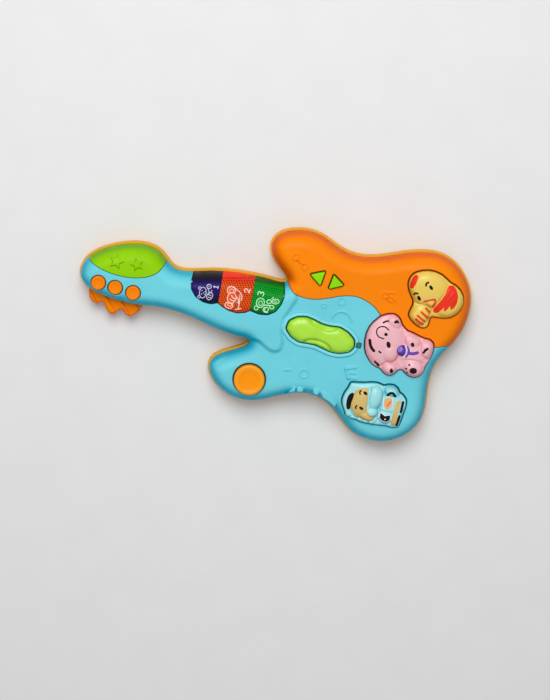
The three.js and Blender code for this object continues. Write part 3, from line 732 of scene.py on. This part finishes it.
def screw(node, body, shank):
    """A screw with a rounded head and a cross recess to the back, and its plain shank."""
    low, high = (np.array(corner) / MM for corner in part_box(node))
    (x, y), radius = (low + high)[:2] / 2, (high - low)[0] / 2
    outer = circle(x, y, radius, 40)
    arm, tip, recess = 0.17 * radius, 0.66 * radius, 0.42 * radius

    def under(places):
        short, long = np.sort(np.abs(places - (x, y)), 1).T
        z = low[2] + 0.22 * radius * (np.hypot(short, long) / radius) ** 4
        return z + recess * rise(-short, -arm - 0.05, 0.05 - arm) * rise(-long, -tip - 0.05, 0.05 - tip)

    def over(places):
        return np.where(away_from(places, (x, y)) < shank, high[2], SEAT_Z)

    points = [circle(x, y, r * radius, 40) for r in (0.98, 0.94, 0.88, 0.8, 0.7, 0.5)]
    points.append(grid(ring(outer, 0.1), 0.055 * radius, 0.1 * radius))
    shank_edges = [circle(x, y, shank + d, 32) for d in (-0.04, 0.04)] if shank < radius else []
    piece = field_piece(f"{node}_look", body, "steel", [outer, *shank_edges], within(outer),
                        np.vstack(points), over, under, [STEEL])
    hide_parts(node)


for number in range(1, 10):
    screw(f"case_screw_{number}", "case", 1.15)
screw("battery_door_screw", "battery_door", 1.2)

# --- Keys ---

KEY_Z = TONGUE_Z + 0.4


def key(number, material, slot, paint, inks):
    """One key: it follows the neck's rounded edge down to the join, and its printing is on its top."""
    loop = KEYS[number - 1]
    wide = ring(OUTLINE, -0.15)

    def top(places):
        z = EDGE_Z + (KEY_Z - EDGE_Z) * quarter(distance(places, wide), 12.5)
        return z - worn_edge(distance(places, loop), 0.8)

    def bottom(places):
        d = distance(places, wide)
        return np.where(d < 1.9, JOIN_Z + 0.8, EDGE_Z - 2 + (KEY_Z - EDGE_Z) * quarter(d - 2, 11.5))

    points = nested(wide, *ROUNDING, 1.5, 1.85, 2, 3, 4.2, 5.6, 7.2, 9, 11, 12.6)
    points += nested(loop, 0.08, 0.25, 0.5, 0.8, 1.4)
    points.append(grid(loop, 1.6, 2))
    points = np.vstack(points)
    points = points[inside(points, wide) & inside(points, loop)]
    piece = field_piece(f"key_{number}_look", f"key_{number}", slot, [wide, loop],
                        lambda p: inside(p, wide) & inside(p, loop), points, top, bottom, [material, *inks],
                        paint)
    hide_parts(f"key_{number}")


def oval(x, y, rx, ry, turn=0):
    t = np.linspace(0, 2 * math.pi, 28, endpoint=False)
    c, s = math.cos(math.radians(turn)), math.sin(math.radians(turn))
    across, along = rx * np.cos(t), ry * np.sin(t)
    return np.stack([x + c * across - s * along, y + s * across + c * along], 1)


def drawn_oval(x, y, rx, ry, width, turn=0):
    """A drawn ring: a patch of line colour, and a patch of the field's colour over it."""
    return [(oval(x, y, rx + width / 2, ry + width / 2, turn), 1),
            (oval(x, y, rx - width / 2, ry - width / 2, turn), 0)]


def dots(x0, x1, y0, y1, slope, step, radius):
    """Rows of printed dots, each row staggered against the last and rising by slope along the neck."""
    return [(circle(x0 + along, y + slope * along, radius, 7), 2)
            for i, y in enumerate(np.arange(y1, y0, -0.8 * step))
            for along in np.arange(0.5 * step * (i % 2), x1 - x0, step)]


def lines(strokes, width, ink=1):
    return [(stroke(points, width), ink) for points in strokes]


def specks(places, radius):
    return [(oval(x, y, radius, radius), 1) for x, y in places]


def blob(points, ink, blur=0.4, step=0.5):
    """A painted patch with rounded corners."""
    return soften(points, step, blur), ink


def digit(strokes, x, y, height):
    """A printed digit whose top points along the neck, drawn from strokes in a square 1 high."""
    return lines([[(x - v * height, y + u * height) for u, v in points] for points in strokes], 0.85)


ONE = [[(-0.22, 0.27), (0, 0.5)], [(0, 0.5), (0, -0.5)], [(-0.25, -0.5), (0.25, -0.5)]]
TWO = [[(-0.34, 0.22), (-0.2, 0.46), (0.12, 0.5), (0.33, 0.24), (0.16, -0.06), (-0.34, -0.48)],
       [(-0.34, -0.5), (0.38, -0.5)]]
THREE = [[(-0.33, 0.42), (0, 0.5), (0.28, 0.28), (0, 0.04)],
         [(0, 0.04), (0.32, -0.22), (0.02, -0.5), (-0.35, -0.4)]]
PEN = 0.7
kitten = [
    *drawn_oval(-68, 9.5, 1.3, 1.1, PEN), *drawn_oval(-66.8, 1.6, 1.2, 1.2, PEN),
    *drawn_oval(-64.4, 6.1, 3.1, 5, PEN, 8),
    *drawn_oval(-60.3, 13, 2, 1.9, PEN), *drawn_oval(-57.6, 4.6, 2.5, 3.6, PEN, -10),
    *lines([[(-61.6, 11.6), (-59.4, 8.8), (-58.8, 5.4)], [(-56.8, 10.4), (-57.6, 7.4)],
            [(-59.2, 6), (-56.4, 5.2)], [(-58.6, 3.2), (-56.4, 3.4)]], PEN),
    *specks([(-65.6, 7.8), (-65.2, 4.6), (-63.9, 6.2), (-62.6, 7.6), (-62.4, 5), (-60.4, 12.9),
             (-60.2, 4.4)], 0.5),
    *digit(ONE, -54.3, 14.3, 4.2),
]
elephant = [
    *dots(-50, -18, -14, 22.6, 0.24, 2.3, 0.72),
    *drawn_oval(-39.8, 14.8, 3.7, 3.5, 0.85, -20), *drawn_oval(-39.3, 14.4, 2, 1.7, 0.6, -20),
    *drawn_oval(-38.4, 0.9, 3.7, 2.8, 0.85), *drawn_oval(-37.9, 1.6, 2, 1.3, 0.6),
    *drawn_oval(-37.6, 8.2, 4, 4.9, 0.85),
    *lines([[(-38.4, 18.3), (-34.8, 16.6), (-31.2, 14.8), (-29, 12), (-28.6, 8.4)],
            [(-38.5, 10.4), (-36.2, 8.4), (-34.6, 8.6)], [(-38.8, 7), (-36.8, 5.8), (-35, 6.6)],
            [(-33.4, 10.2), (-31.2, 8), (-30.4, 4.6)],
            [(-30.9, 11.6), (-29.8, 6.2), (-29.6, 1.4), (-29.4, 0.2)], [(-31.8, -1.4), (-26.8, 0.8)]], 0.9),
    *specks([(-38, 10), (-34.6, 5.4), (-31.4, 12.6), (-31.6, 5.6)], 0.55),
    *digit(TWO, -25.8, 18.2, 4.7),
]
mouse = [
    *dots(-20, 10, -3, 24.6, 0.05, 2.2, 0.66),
    *drawn_oval(-11.2, 10.6, 3.6, 4.4, 0.8), *drawn_oval(-10.9, 10.2, 1.7, 2.2, 0.6),
    *drawn_oval(-13.7, 4.9, 1.8, 1.9, 0.7), *drawn_oval(1.9, 15.3, 3.2, 2.2, 0.8, 20),
    *drawn_oval(1.6, 15.2, 1.2, 0.8, 0.5), *drawn_oval(-3.7, 13.6, 2.1, 1.8, 0.8, 20),
    *drawn_oval(-0.1, 9.3, 2, 1.6, 0.8), *drawn_oval(-4.2, 6, 1.7, 2.2, 0.8),
    *lines([[(-7.4, 9.2), (-5.6, 9.8), (-2.4, 10.4)], [(-6.2, 7.4), (-7.2, 5.4), (-5.6, 3.4), (-2.6, 3.4)],
            [(-1, 18.4), (-2, 17)]], 0.9),
    *digit(THREE, -12.9, 19, 5.4),
]
PRINTS = [
    # material slot, art, and the colours of the field, at the neck's edge, at the foot, of the dots and of
    # the lines; the slope of the neck's edge in degrees; then how far across the neck, square to that
    # slope, the edge's colour is full and gone, and the foot's is gone and full
    ("navy_plastic", kitten, (34, 18, 100), (14, 12, 22), (12, 18, 46), (18, 12, 52), (204, 200, 224),
     16, (36.4, 31, 24, 16)),
    ("red_plastic", elephant, (230, 86, 20), (246, 38, 2), (204, 64, 8), (128, 26, 2), (250, 204, 190),
     10, (32.5, 26, 10, 3)),
    ("green_plastic", mouse, (0, 158, 40), (0, 82, 4), (0, 92, 46), (0, 84, 26), (190, 240, 198),
     4, (30.5, 25.5, 9, 1.5)),
]
for number, (slot, art, *colours, slope, (full, gone, foot_gone, foot_full)) in enumerate(PRINTS, 1):
    field, edge, foot, dot, line = colours
    field_print, dot_print, line_print = (
        moulded(f"key_{number}_{part}", colour, 0.42, shine=0.1)
        for part, colour in [("print", field), ("dots", dot), ("lines", line)])
    square = (-math.sin(math.radians(slope)), math.cos(math.radians(slope)), 0)
    across_neck = dot_product(field_print, "Object", square)
    blend_in(field_print, across_neck, foot, foot_gone * MM, foot_full * MM)
    blend_in(field_print, across_neck, edge, gone * MM, full * MM)
    key(number, field_print, slot, art, [line_print, dot_print])

# --- Push buttons ---

SKIRT_Z = 31.7  # lower edge of a button's sides, in the shell and clear of its dome when pressed
CAP_Z = 36.0  # where the caps' rounding starts
RIM_Z = 35.6  # the same for the strum button and the figures


def button(name, slot, height, points, materials, paint=()):
    """A button's cap: closed sides below the shell's surface and a sculpted top."""
    loop = BUTTON_LOOPS[name]
    free = np.vstack([*nested(loop, *ROUNDING, 1.6, 2.4, 3.4), grid(loop, 1.1, 0.8), *points])
    free = free[inside(free, loop)]
    piece = field_piece(f"{name}_cap", f"{name}_button", slot, [loop], within(loop), free, height,
                        level(SKIRT_Z), materials, paint)
    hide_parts(f"{name}_button")


WAIST = [[(37, 8.5), (40.6, 5), (45.3, 3.1), (51.1, 2.2), (57.6, 2.9), (62, 6)],
         [(37, -14.6), (41, -11.4), (47.6, -10.2), (53.8, -10.6), (58.9, -12.4), (62, -15.5)]]


def strum_height(places):
    """A soft bone shape with a groove along each side of its waist and a low ridge between them."""
    z = RIM_Z + 4.4 * quarter(depth(places, BUTTON_LOOPS["strum"]), 9)
    for line in WAIST:
        z -= 1.3 * bell(distance(places, curve(line, 0.6), closed=False), 1.7)
    z += 0.4 * bell(reach(places, 42.5, -3.5, 7, 2.6, -28), 1)
    return z - 0.8 * bell(reach(places, 50.5, -3.6, 6, 13, -18), 1)


MODE_CENTRE = BUTTON_LOOPS["mode"].mean(0)
MODE_RADIUS = 14.4


def mode_height(places):
    """A round-edged disc with a shallow bowl in it and a fine groove round the bowl."""
    away = away_from(places, MODE_CENTRE)
    rim = 36.4 + 1.9 * quarter(MODE_RADIUS - away, 2.2)
    bowl = 1.1 * rise(-away, -10.6, -8.4) * (1 - 0.4 * (away / 9) ** 2)
    return rim - bowl - 0.4 * bell(away - 10.4, 0.5)


def triangle_height(name):
    return lambda places: CAP_Z + 1.1 * quarter(depth(places, BUTTON_LOOPS[name]), 0.9)


button("strum", "clear_lime_plastic", strum_height, [grid(BUTTON_LOOPS["strum"], 0.8)], [CLEAR_LIME])
button("mode", "orange_plastic", mode_height,
       [circle(*MODE_CENTRE, r, 90) for r in np.arange(7.6, 12.1, 0.3)],
       [AMBER, BUTTON], [(circle(*MODE_CENTRE, 9.9, 90), 1)])
button("volume_down", "lime_plastic", triangle_height("volume_down"), [], [BRIGHT_LIME])
button("volume_up", "lime_plastic", triangle_height("volume_up"), [], [BRIGHT_LIME])

# --- Animal buttons ---

FIGURE_Z = 38.0  # lowest part of a figure's relief
MELT = 1.2  # height over which two balls run into each other


def figure_height(name, balls, grooves, puff=5.5):
    """Relief of a figure: soft balls (x, y, rx, ry, turn, top) melted together, and grooves (line, depth).

    puff is the width of the rounding along its edge.
    """
    loop = BUTTON_LOOPS[name]

    def height(places):
        z = np.full(len(places), FIGURE_Z)
        for x, y, rx, ry, turn, top in balls:
            ball = CAP_Z + (top - CAP_Z) * np.sqrt(np.clip(1 - reach(places, x, y, rx, ry, turn) ** 2, 0, 1))
            share = np.clip(0.5 + 0.5 * (ball - z) / MELT, 0, 1)
            z = z * (1 - share) + ball * share + MELT * share * (1 - share) * 0.5
        for line, deep in grooves:
            z -= deep * bell(distance(places, curve(line, 0.6), closed=False), 0.9)
        return RIM_Z + (z - RIM_Z) * quarter(depth(places, loop), puff)

    return height


# The deep colours of these paints are painted shade where the relief turns down.
CHICK = moulded("chick_paint", (232, 199, 90), 0.3, deep=(206, 152, 40))
PINK = moulded("pink_paint", (238, 181, 190), 0.3, deep=(236, 152, 162))
AQUA = moulded("aqua_paint", (158, 225, 229), 0.3, deep=(84, 190, 204))
PLUM = moulded("plum_ink", (40, 18, 28), 0.5, shine=0.1)
PURPLE = moulded("purple_paint", (104, 62, 172), 0.34, deep=(74, 36, 128))
# A lighter purple painted on the microphone's ball as a highlight.
LILAC_HIGHLIGHT = moulded("lilac_painted_highlight", (146, 118, 206), 0.34)
DARK_PURPLE = moulded("dark_purple_groove_line", (58, 28, 92), 0.4)
# White paint, also used for a painted highlight on the walrus's hand.
PALE_AND_HIGHLIGHT = moulded("pale_paint_and_highlight", (222, 226, 236), 0.4)
TAN = moulded("tan_paint", (212, 182, 108), 0.4, deep=(198, 130, 42))
PEACH = moulded("peach_paint", (236, 172, 108), 0.4)
RED_PAINT = moulded("red_paint", (242, 44, 8), 0.36, tint=0.14, deep=(206, 24, 2))
RUST = moulded("rust_paint", (222, 74, 20), 0.4)

chick_paint = [
    blob([(119.3, 72.7), (121.6, 72.2), (121.8, 69.3), (121.1, 64.5), (119.6, 59.8), (117.2, 59.2),
          (116.2, 63.4), (116.7, 68.2), (117.9, 71.3)], 1),
    blob([(151, 70.9), (155.3, 71.6), (158.9, 68.4), (161.6, 63.3), (162.2, 57.6), (161.2, 52.9),
          (159, 50), (157.6, 50.6), (156.6, 53.4), (155.4, 50), (153.8, 47), (152.4, 47.4),
          (151.8, 50.6), (150.2, 47.4), (147.4, 43.3), (144.3, 42.8), (142.9, 45), (145.3, 50.9),
          (147.9, 57.1), (150, 63.2), (150.2, 67.7)], 1, 0.35),
    (oval(135.2, 65.3, 2.4, 1.45, -42), 2),
    (oval(127.4, 52.8, 2.6, 1.45, -50), 2),
    *lines([[(130.3, 65.7), (130.1, 67.8), (131.6, 69.3)], [(122.1, 54.8), (123, 56.6), (125.1, 56.6)]],
           1.7, 2),
    (stroke([(132.8, 51), (137.2, 53.5), (141.3, 55.4)], 2), 3),
    (stroke([(141.8, 55.6), (142.6, 53), (141.3, 49.4)], 1.7), 3),
    *lines([[(136.4, 45.2), (140.1, 42.6)], [(133.1, 40.9), (140.5, 36.8)],
            [(130.6, 36.9), (138.1, 33.1)]], 2.2, 3),
    (stroke([(130.2, 33.2), (133.8, 31.2), (137.4, 29.9)], 2.6), 3),
]
chick_shape = figure_height("chick", [
    (134, 62.5, 20, 17.5, -15, 42.3), (154, 56.5, 15.5, 17, 20, 41.2), (132.6, 37.5, 9.5, 13, -25, 41),
    (138.8, 51.5, 6.5, 5, -20, 42.3)], [
    ([(150.8, 72.6), (149.2, 64), (146.2, 55), (142.8, 46.5), (141.6, 40)], 1.1),
    ([(124.4, 46.8), (130, 47.6), (136, 47.6), (141.4, 47.2)], 0.5),
    ([(158.6, 63), (155.4, 57), (150.6, 51)], 0.25), ([(155, 66.6), (152.4, 60), (147.4, 51)], 0.25)])
button("chick", "pale_yellow_plastic", chick_shape, [grid(BUTTON_LOOPS["chick"], 0.9)],
       [CHICK, RED_PAINT, BLACK_INK, RUST], chick_paint)

puppy_paint = [
    (stroke([(108.7, 17.2), (104.9, 18.9), (101, 18.2), (98.4, 15.3), (98.8, 11.6), (101.6, 8.8),
             (106.4, 8.3)], 1.15), 1),
    (oval(107.3, 12.6, 1.7, 1.5), 1),
    (oval(112.1, 4, 3.1, 1.9, -62), 1),
    (stroke([(102.3, 22.1), (104.2, 23.7), (106.5, 24.8)], 1.5), 1),
    (stroke([(94.6, 3.4), (96, -0.3), (98, -3), (100.7, -5)], 2.8), 1),
    blob([(111, 25), (112.2, 27.4), (114.4, 27.9), (116.2, 26.2), (115.6, 24.6), (114.4, 25.6),
          (113.2, 24.4)], 1, 0.35, 0.4),
    (stroke([(105.4, -4.3), (107.3, -5.1)], 1.6), 1),
    blob([(103.6, -13.6), (105, -13.9), (110.2, -17.2), (109.2, -19.2), (107.2, -18.6), (106.6, -17),
          (104.4, -16.6)], 1, 0.35, 0.4),
    (oval(121.4, -19.1, 2.4, 1.6, 118), 1),
    (oval(133.5, 9.5, 2.3, 1.6, 120), 1),
    blob([(144, 3.8), (145.9, 4), (147.2, 7), (149.2, 9.8), (147.6, 10.9), (145, 8.6)], 1, 0.4, 0.4),
    (oval(140.6, -13.7, 3.5, 2.9, 10), 1),
    *[(oval(x, y, 1, 0.85), 1) for x, y in [(135.7, -9.5), (134, -13.6), (135.9, -17.4)]],
    (circle(126.2, 1.5, 5.3, 40), 2),
    # Painted highlight on the left of the microphone's ball.
    (oval(123.6, 2.4, 1.7, 2.8, -15), 4),
    # A dark purple line along a groove of the microphone's grille.
    (stroke([(124.9, 6.3), (126.6, 4.2), (127.3, 1.2), (126.4, -2.6)], 0.7), 5),
    (stroke([(129.6, 6.4), (131.7, 3.6), (132, 0.2), (130.8, -3.4)], 1.7), 2),
    (stroke([(132.2, 0.8), (136.4, 1.6), (139.8, 3.3)], 3), 2),
    blob([(127, 6.6), (128.8, 6.4), (130.7, 3.4), (131, 0), (129.8, -4), (128, -3.9), (129.2, 0.4),
          (128.8, 3.6)], 3, 0.35, 0.4),
]
puppy_shape = figure_height("puppy", [
    (107.5, 3.5, 19, 22, 0, 42), (115, -3.5, 9.5, 10, 10, 42.9), (112.5, 25, 8, 6.5, -20, 40.9),
    (119.6, -18.6, 7.5, 7, 0, 41.4), (136, 1, 14, 13, 10, 40.6), (141, -12.8, 10.5, 8.6, 0, 42.2),
    (147.6, 8.5, 7.5, 10.5, 15, 41.8), (132.5, 12, 9, 7, -15, 41.4), (126.2, 1.5, 5.8, 5.8, 0, 42.8)], [
    ([(121.6, 20.8), (124.4, 14), (126.6, 8.4)], 1.2), ([(123.6, -5), (124.4, -10), (126.6, -15)], 1.1),
    ([(110.6, -19.6), (114.4, -13.4), (119, -12.2), (125, -13.6)], 0.9),
    ([(130, -7), (135.4, -5.2), (142, -4.6), (149.4, -6.6)], 0.8),
    ([(140.4, 17.2), (140.6, 9), (143.2, 2.4), (152, -1)], 0.9)])
button("puppy", "pink_plastic", puppy_shape, [grid(BUTTON_LOOPS["puppy"], 0.9)],
       [PINK, PLUM, PURPLE, PALE_AND_HIGHLIGHT, LILAC_HIGHLIGHT, DARK_PURPLE], puppy_paint)

walrus_paint = [
    blob([(94.4, -46.2), (98.4, -42.4), (106.2, -40.7), (106.8, -45), (107.7, -51.5), (108.4, -57),
          (109.2, -60.6), (112.2, -63.8), (115.9, -66.2), (119.3, -67.7), (116.8, -69.7), (112.8, -71),
          (107.7, -70.6), (102.9, -69.2), (98.5, -66.9), (94.9, -63.6), (93.4, -58.4),
          (93.6, -52)], 1, 0.6, 0.6),
    blob([(90.9, -50), (92.4, -48.6), (94.3, -49.2), (94.3, -53.4), (93.9, -58), (94.5, -63.2),
          (93.2, -65.6), (91.4, -64.9), (89.9, -61.4), (89.2, -56.5), (89.6, -52.4)], 2),
    (oval(104, -45.6, 2.2, 1.35, -22), 2),
    (oval(103.9, -60.1, 2.2, 1.35, -22), 2),
    *lines([[(99.5, -47.6), (98.6, -45.9), (99.7, -44.5)], [(99.3, -61.7), (98.6, -60), (99.4, -58.7)]],
           1.4, 2),
    (stroke([(124.5, -42.4), (125.7, -39.9), (128.3, -39), (131.2, -41.3)], 2.5), 2),
    blob([(122.9, -48.6), (123.4, -45.6), (126.1, -43.8), (129, -44.5), (130.2, -47.8), (130.1, -51.6),
          (128.2, -55), (125.2, -55.2), (123.5, -52.2)], 3, 0.6),
    (stroke([(126.5, -52.2), (127.4, -49.9), (128.8, -47.4)], 0.9), 4),
    *lines([[(122.2, -45.2), (122.7, -50.5), (124.8, -56.2)],
            [(129.6, -43.6), (131.4, -48.5), (132, -55.6)]], 1, 5),
    blob([(121.7, -59.6), (124.7, -60), (127.1, -60.9), (129.8, -59.7), (132.7, -59.4), (133.3, -64.6),
          (129.9, -67.8), (125.2, -67.6), (122, -65.2)], 5),
    blob([(122.7, -60.6), (124.7, -60.8), (127.1, -61.8), (129.8, -60.6), (131.9, -60.4), (132.3, -64.2),
          (129.5, -66.8), (125.5, -66.6), (123, -64.7)], 2),
    # Painted highlight on top of the hand.
    (oval(128, -64.6, 0.8, 0.7), 5),
    blob([(134, -45.6), (138.3, -44.7), (138.3, -57), (139.6, -68.3), (134.4, -69.2),
          (133.9, -57.8)], 1, 0.4, 0.6),
    *lines([[(140.1, -45.6), (140.5, -54.6)], [(140.2, -58.8), (140.3, -68)]], 2.5, 2),
]
SCALLOPS = [(94.2, -70.2), (99.8, -72), (105.4, -72.6), (111.2, -72.6), (116.8, -72)]
walrus_shape = figure_height("walrus", [
    (103.4, -55.4, 11.8, 15.6, -4, 42.3), (113.2, -48.6, 8.6, 12.8, 0, 42.9),
    (114.4, -62.4, 6.8, 5.4, 20, 42.3), *[(x, y, 2.7, 2.2, 0, 40.2) for x, y in SCALLOPS],
    (110, -66.6, 9, 4.8, -14, 41.2), (129, -51, 12, 17, 0, 40.4), (127.8, -38.4, 8.5, 5.8, 0, 42),
    (128, -63.8, 6.8, 6, 0, 41.8), (137.4, -57, 6.5, 14, 0, 40.6)], [
    ([(119.6, -36.6), (121.6, -44), (121.8, -52), (120.2, -57.6), (122.4, -63), (121, -72)], 1.3),
    ([(121.6, -58), (127, -58.4), (132.4, -57.6)], 0.6), ([(132.6, -43), (133, -56), (133, -68)], 0.6),
    ([(120.6, -44.8), (127, -42.8), (133, -44)], 0.5), ([(107.6, -40), (108.2, -50), (109.2, -58)], 0.9)],
    puff=4.5)
button("walrus", "aqua_plastic", walrus_shape, [grid(BUTTON_LOOPS["walrus"], 0.9)],
       [AQUA, TAN, BLACK_INK, PEACH, RUST, PALE_AND_HIGHLIGHT], walrus_paint)

# --- Headstock ---

PEG_PLAN = soften(section("tuner_rack", 17.2)[0], 0.6, 0.8)
PEG_Z = 15.6  # where the pegs' rounding starts
CREASE_AT, CREASE_STEP = -172.3, 14.1  # where the pegs' creases run, measured along x + y
POST_RADIUS = 6.6


def peg_height(places):
    """Each peg rises from its crease to the next one's, like a row of shingles."""
    along = (places[:, 0] + places[:, 1] - CREASE_AT) / CREASE_STEP
    part = along - np.floor(along)
    shingle = 2.6 * part * rise(1 - part, 0, 0.17)
    return PEG_Z + (1.2 + shingle) * quarter(depth(places, PEG_PLAN), 2.4)


def pegs():
    points = nested(PEG_PLAN, 0.05, 0.2, 0.45, 0.8, 1.2, 1.8, 2.4)
    for i in range(-1, 4):
        crease = CREASE_AT + i * CREASE_STEP
        for shift in (-2.8, -2.3, -1.8, -1.3, -0.8, -0.3, 0, 0.3, 0.8):
            y = np.arange(-42, -10, 0.6)
            points.append(np.stack([crease + shift - y, y], 1))
    points.append(grid(PEG_PLAN, 1.4))
    points = np.vstack(points)
    points = points[inside(points, PEG_PLAN)]
    piece = field_piece("tuner_pegs", "case", "orange_plastic", [PEG_PLAN], within(PEG_PLAN), points,
                        peg_height, level(JOIN_Z + 0.3), [ORANGE])
    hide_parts("tuner_rack")
    # Three round posts with a dimple each; the first stands lower.
    for number, (x, y) in enumerate(POSTS, 1):
        plan = circle(x, y, POST_RADIUS, 60)
        rings = [circle(x, y, r, 60) for r in (6.57, 6.45, 6.2, 5.9, 5.5, 5, 4.4, 3.6)]
        rings += [circle(x, y, 2.2, 16), np.array([(x, y)])]

        def height(places, x=x, y=y, low=1.8 if number == 1 else 0):
            away = away_from(places, (x, y))
            disc = TONGUE_Z - low - 1.1 + 1.3 * quarter(POST_RADIUS - away, 1.3)
            return disc - 0.7 * rise(-away, -5.2, -2.5)

        field_piece(f"tuner_post_{number}", "case", "orange_plastic", [plan], within(plan), np.vstack(rings),
                    height, level(21), [ORANGE])


pegs()

# --- Lamp window ---

WINDOW = moulded("window_plastic", (40, 112, 84), 0.15, 0.02, see_through=0.2)


def window_height(places):
    return BODY_Z + 0.2 + 0.5 * quarter(depth(places, STATUS), 0.7)


lens = field_piece("lamp_window", "case", "clear_lime_plastic", [STATUS], within(STATUS),
                   np.vstack([*nested(STATUS, 0.1, 0.3, 0.6), grid(STATUS, 0.7)]), window_height,
                   level(31), [WINDOW])
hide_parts("status_lens")

# --- Materials of the CAD pieces that show ---

BOARD_GREEN = moulded("board_green", (34, 92, 52), 0.35, 0.04, 0.12)
SILICONE = moulded("silicone", (214, 212, 204), 0.65, 0.05)
DARK = moulded("dark_plastic", (32, 32, 34), 0.45)
PAPER = moulded("speaker_paper", (44, 40, 36), 0.85, 0.3)
JACKET = moulded("cell_jacket", (70, 78, 92), 0.3, 0.02, metallic=0.6)
CAD_LOOKS = [("_board_screw", STEEL), ("_board", BOARD_GREEN), ("_dome", SILICONE), ("speaker_cone", PAPER),
             ("speaker_magnet", DARK), ("power_switch_knob", DARK), ("battery_contacts", STEEL),
             ("battery_", JACKET), ("status_led", WINDOW)]
for node_name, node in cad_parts.items():
    if node.hide_render:
        continue
    look = next((material for part, material in CAD_LOOKS if part in node_name), STEEL)
    node.data.materials.clear()
    node.data.materials.append(look)

# --- Camera, floor and light ---

TILT = math.radians(12)  # of the view, away from straight down on the face
ROLL = math.radians(15)  # of the neck, across the picture
AIM = Vector((13.25, -29, FACE_Z))  # what the camera looks at
AWAY = 1900  # from there to the camera
right = Vector((math.cos(ROLL), math.sin(ROLL), 0))
across = Vector((-math.sin(ROLL), math.cos(ROLL), 0))
back = Vector((0, 0, math.cos(TILT))) + across * math.sin(TILT)
up = back.cross(right)
camera = add_object("camera", bpy.data.cameras.new("camera"))
bpy.context.scene.camera = camera
camera.data.lens = 106.2
camera.data.sensor_width = 36
camera.matrix_world = Matrix((right, up, back)).transposed().to_4x4()
camera.location = AIM * MM + back * (AWAY * MM)

floor = bpy.data.meshes.new("floor")
floor.from_pydata([(-3, -3, 0), (3, -3, 0), (3, 3, 0), (-3, 3, 0)], [], [(0, 1, 2, 3)])
floor_object = add_object("floor", floor)
floor_object.location.z = -0.0002
floor.materials.append(moulded("floor_paint", (228.54, 228.54, 228.54), 0.7, 0.02, 0.01))


def softbox(name, place, size, watts):
    light = add_object(name, bpy.data.lights.new(name, "AREA"))
    light.data.shape = "DISK"
    light.data.size = size
    light.data.energy = watts
    light.location = place
    light.rotation_euler = (-Vector(place)).to_track_quat("-Z", "Y").to_euler()


softbox("key_light", (-0.35, 0.95, 1.6), 1.1, 24.5)
softbox("fill_light", (0.5, -0.9, 1.7), 1.4, 2)
world = bpy.data.worlds.new("studio")
bpy.context.scene.world = world
world.use_nodes = True
nodes, links = world.node_tree.nodes, world.node_tree.links
sky_axes = nodes.new("ShaderNodeSeparateXYZ")
links.new(nodes.new("ShaderNodeTexCoord").outputs["Generated"], sky_axes.inputs["Vector"])
sky = add_node(nodes, "MapRange", {"To Min": 0.22, "To Max": 0.5})  # dimmer near the floor than overhead
links.new(sky_axes.outputs["Z"], sky.inputs["Value"])
links.new(sky.outputs["Result"], nodes["Background"].inputs["Strength"])
nodes["Background"].inputs["Color"].default_value = (1, 1, 1, 1)
bpy.context.scene.view_settings.view_transform = "Standard"
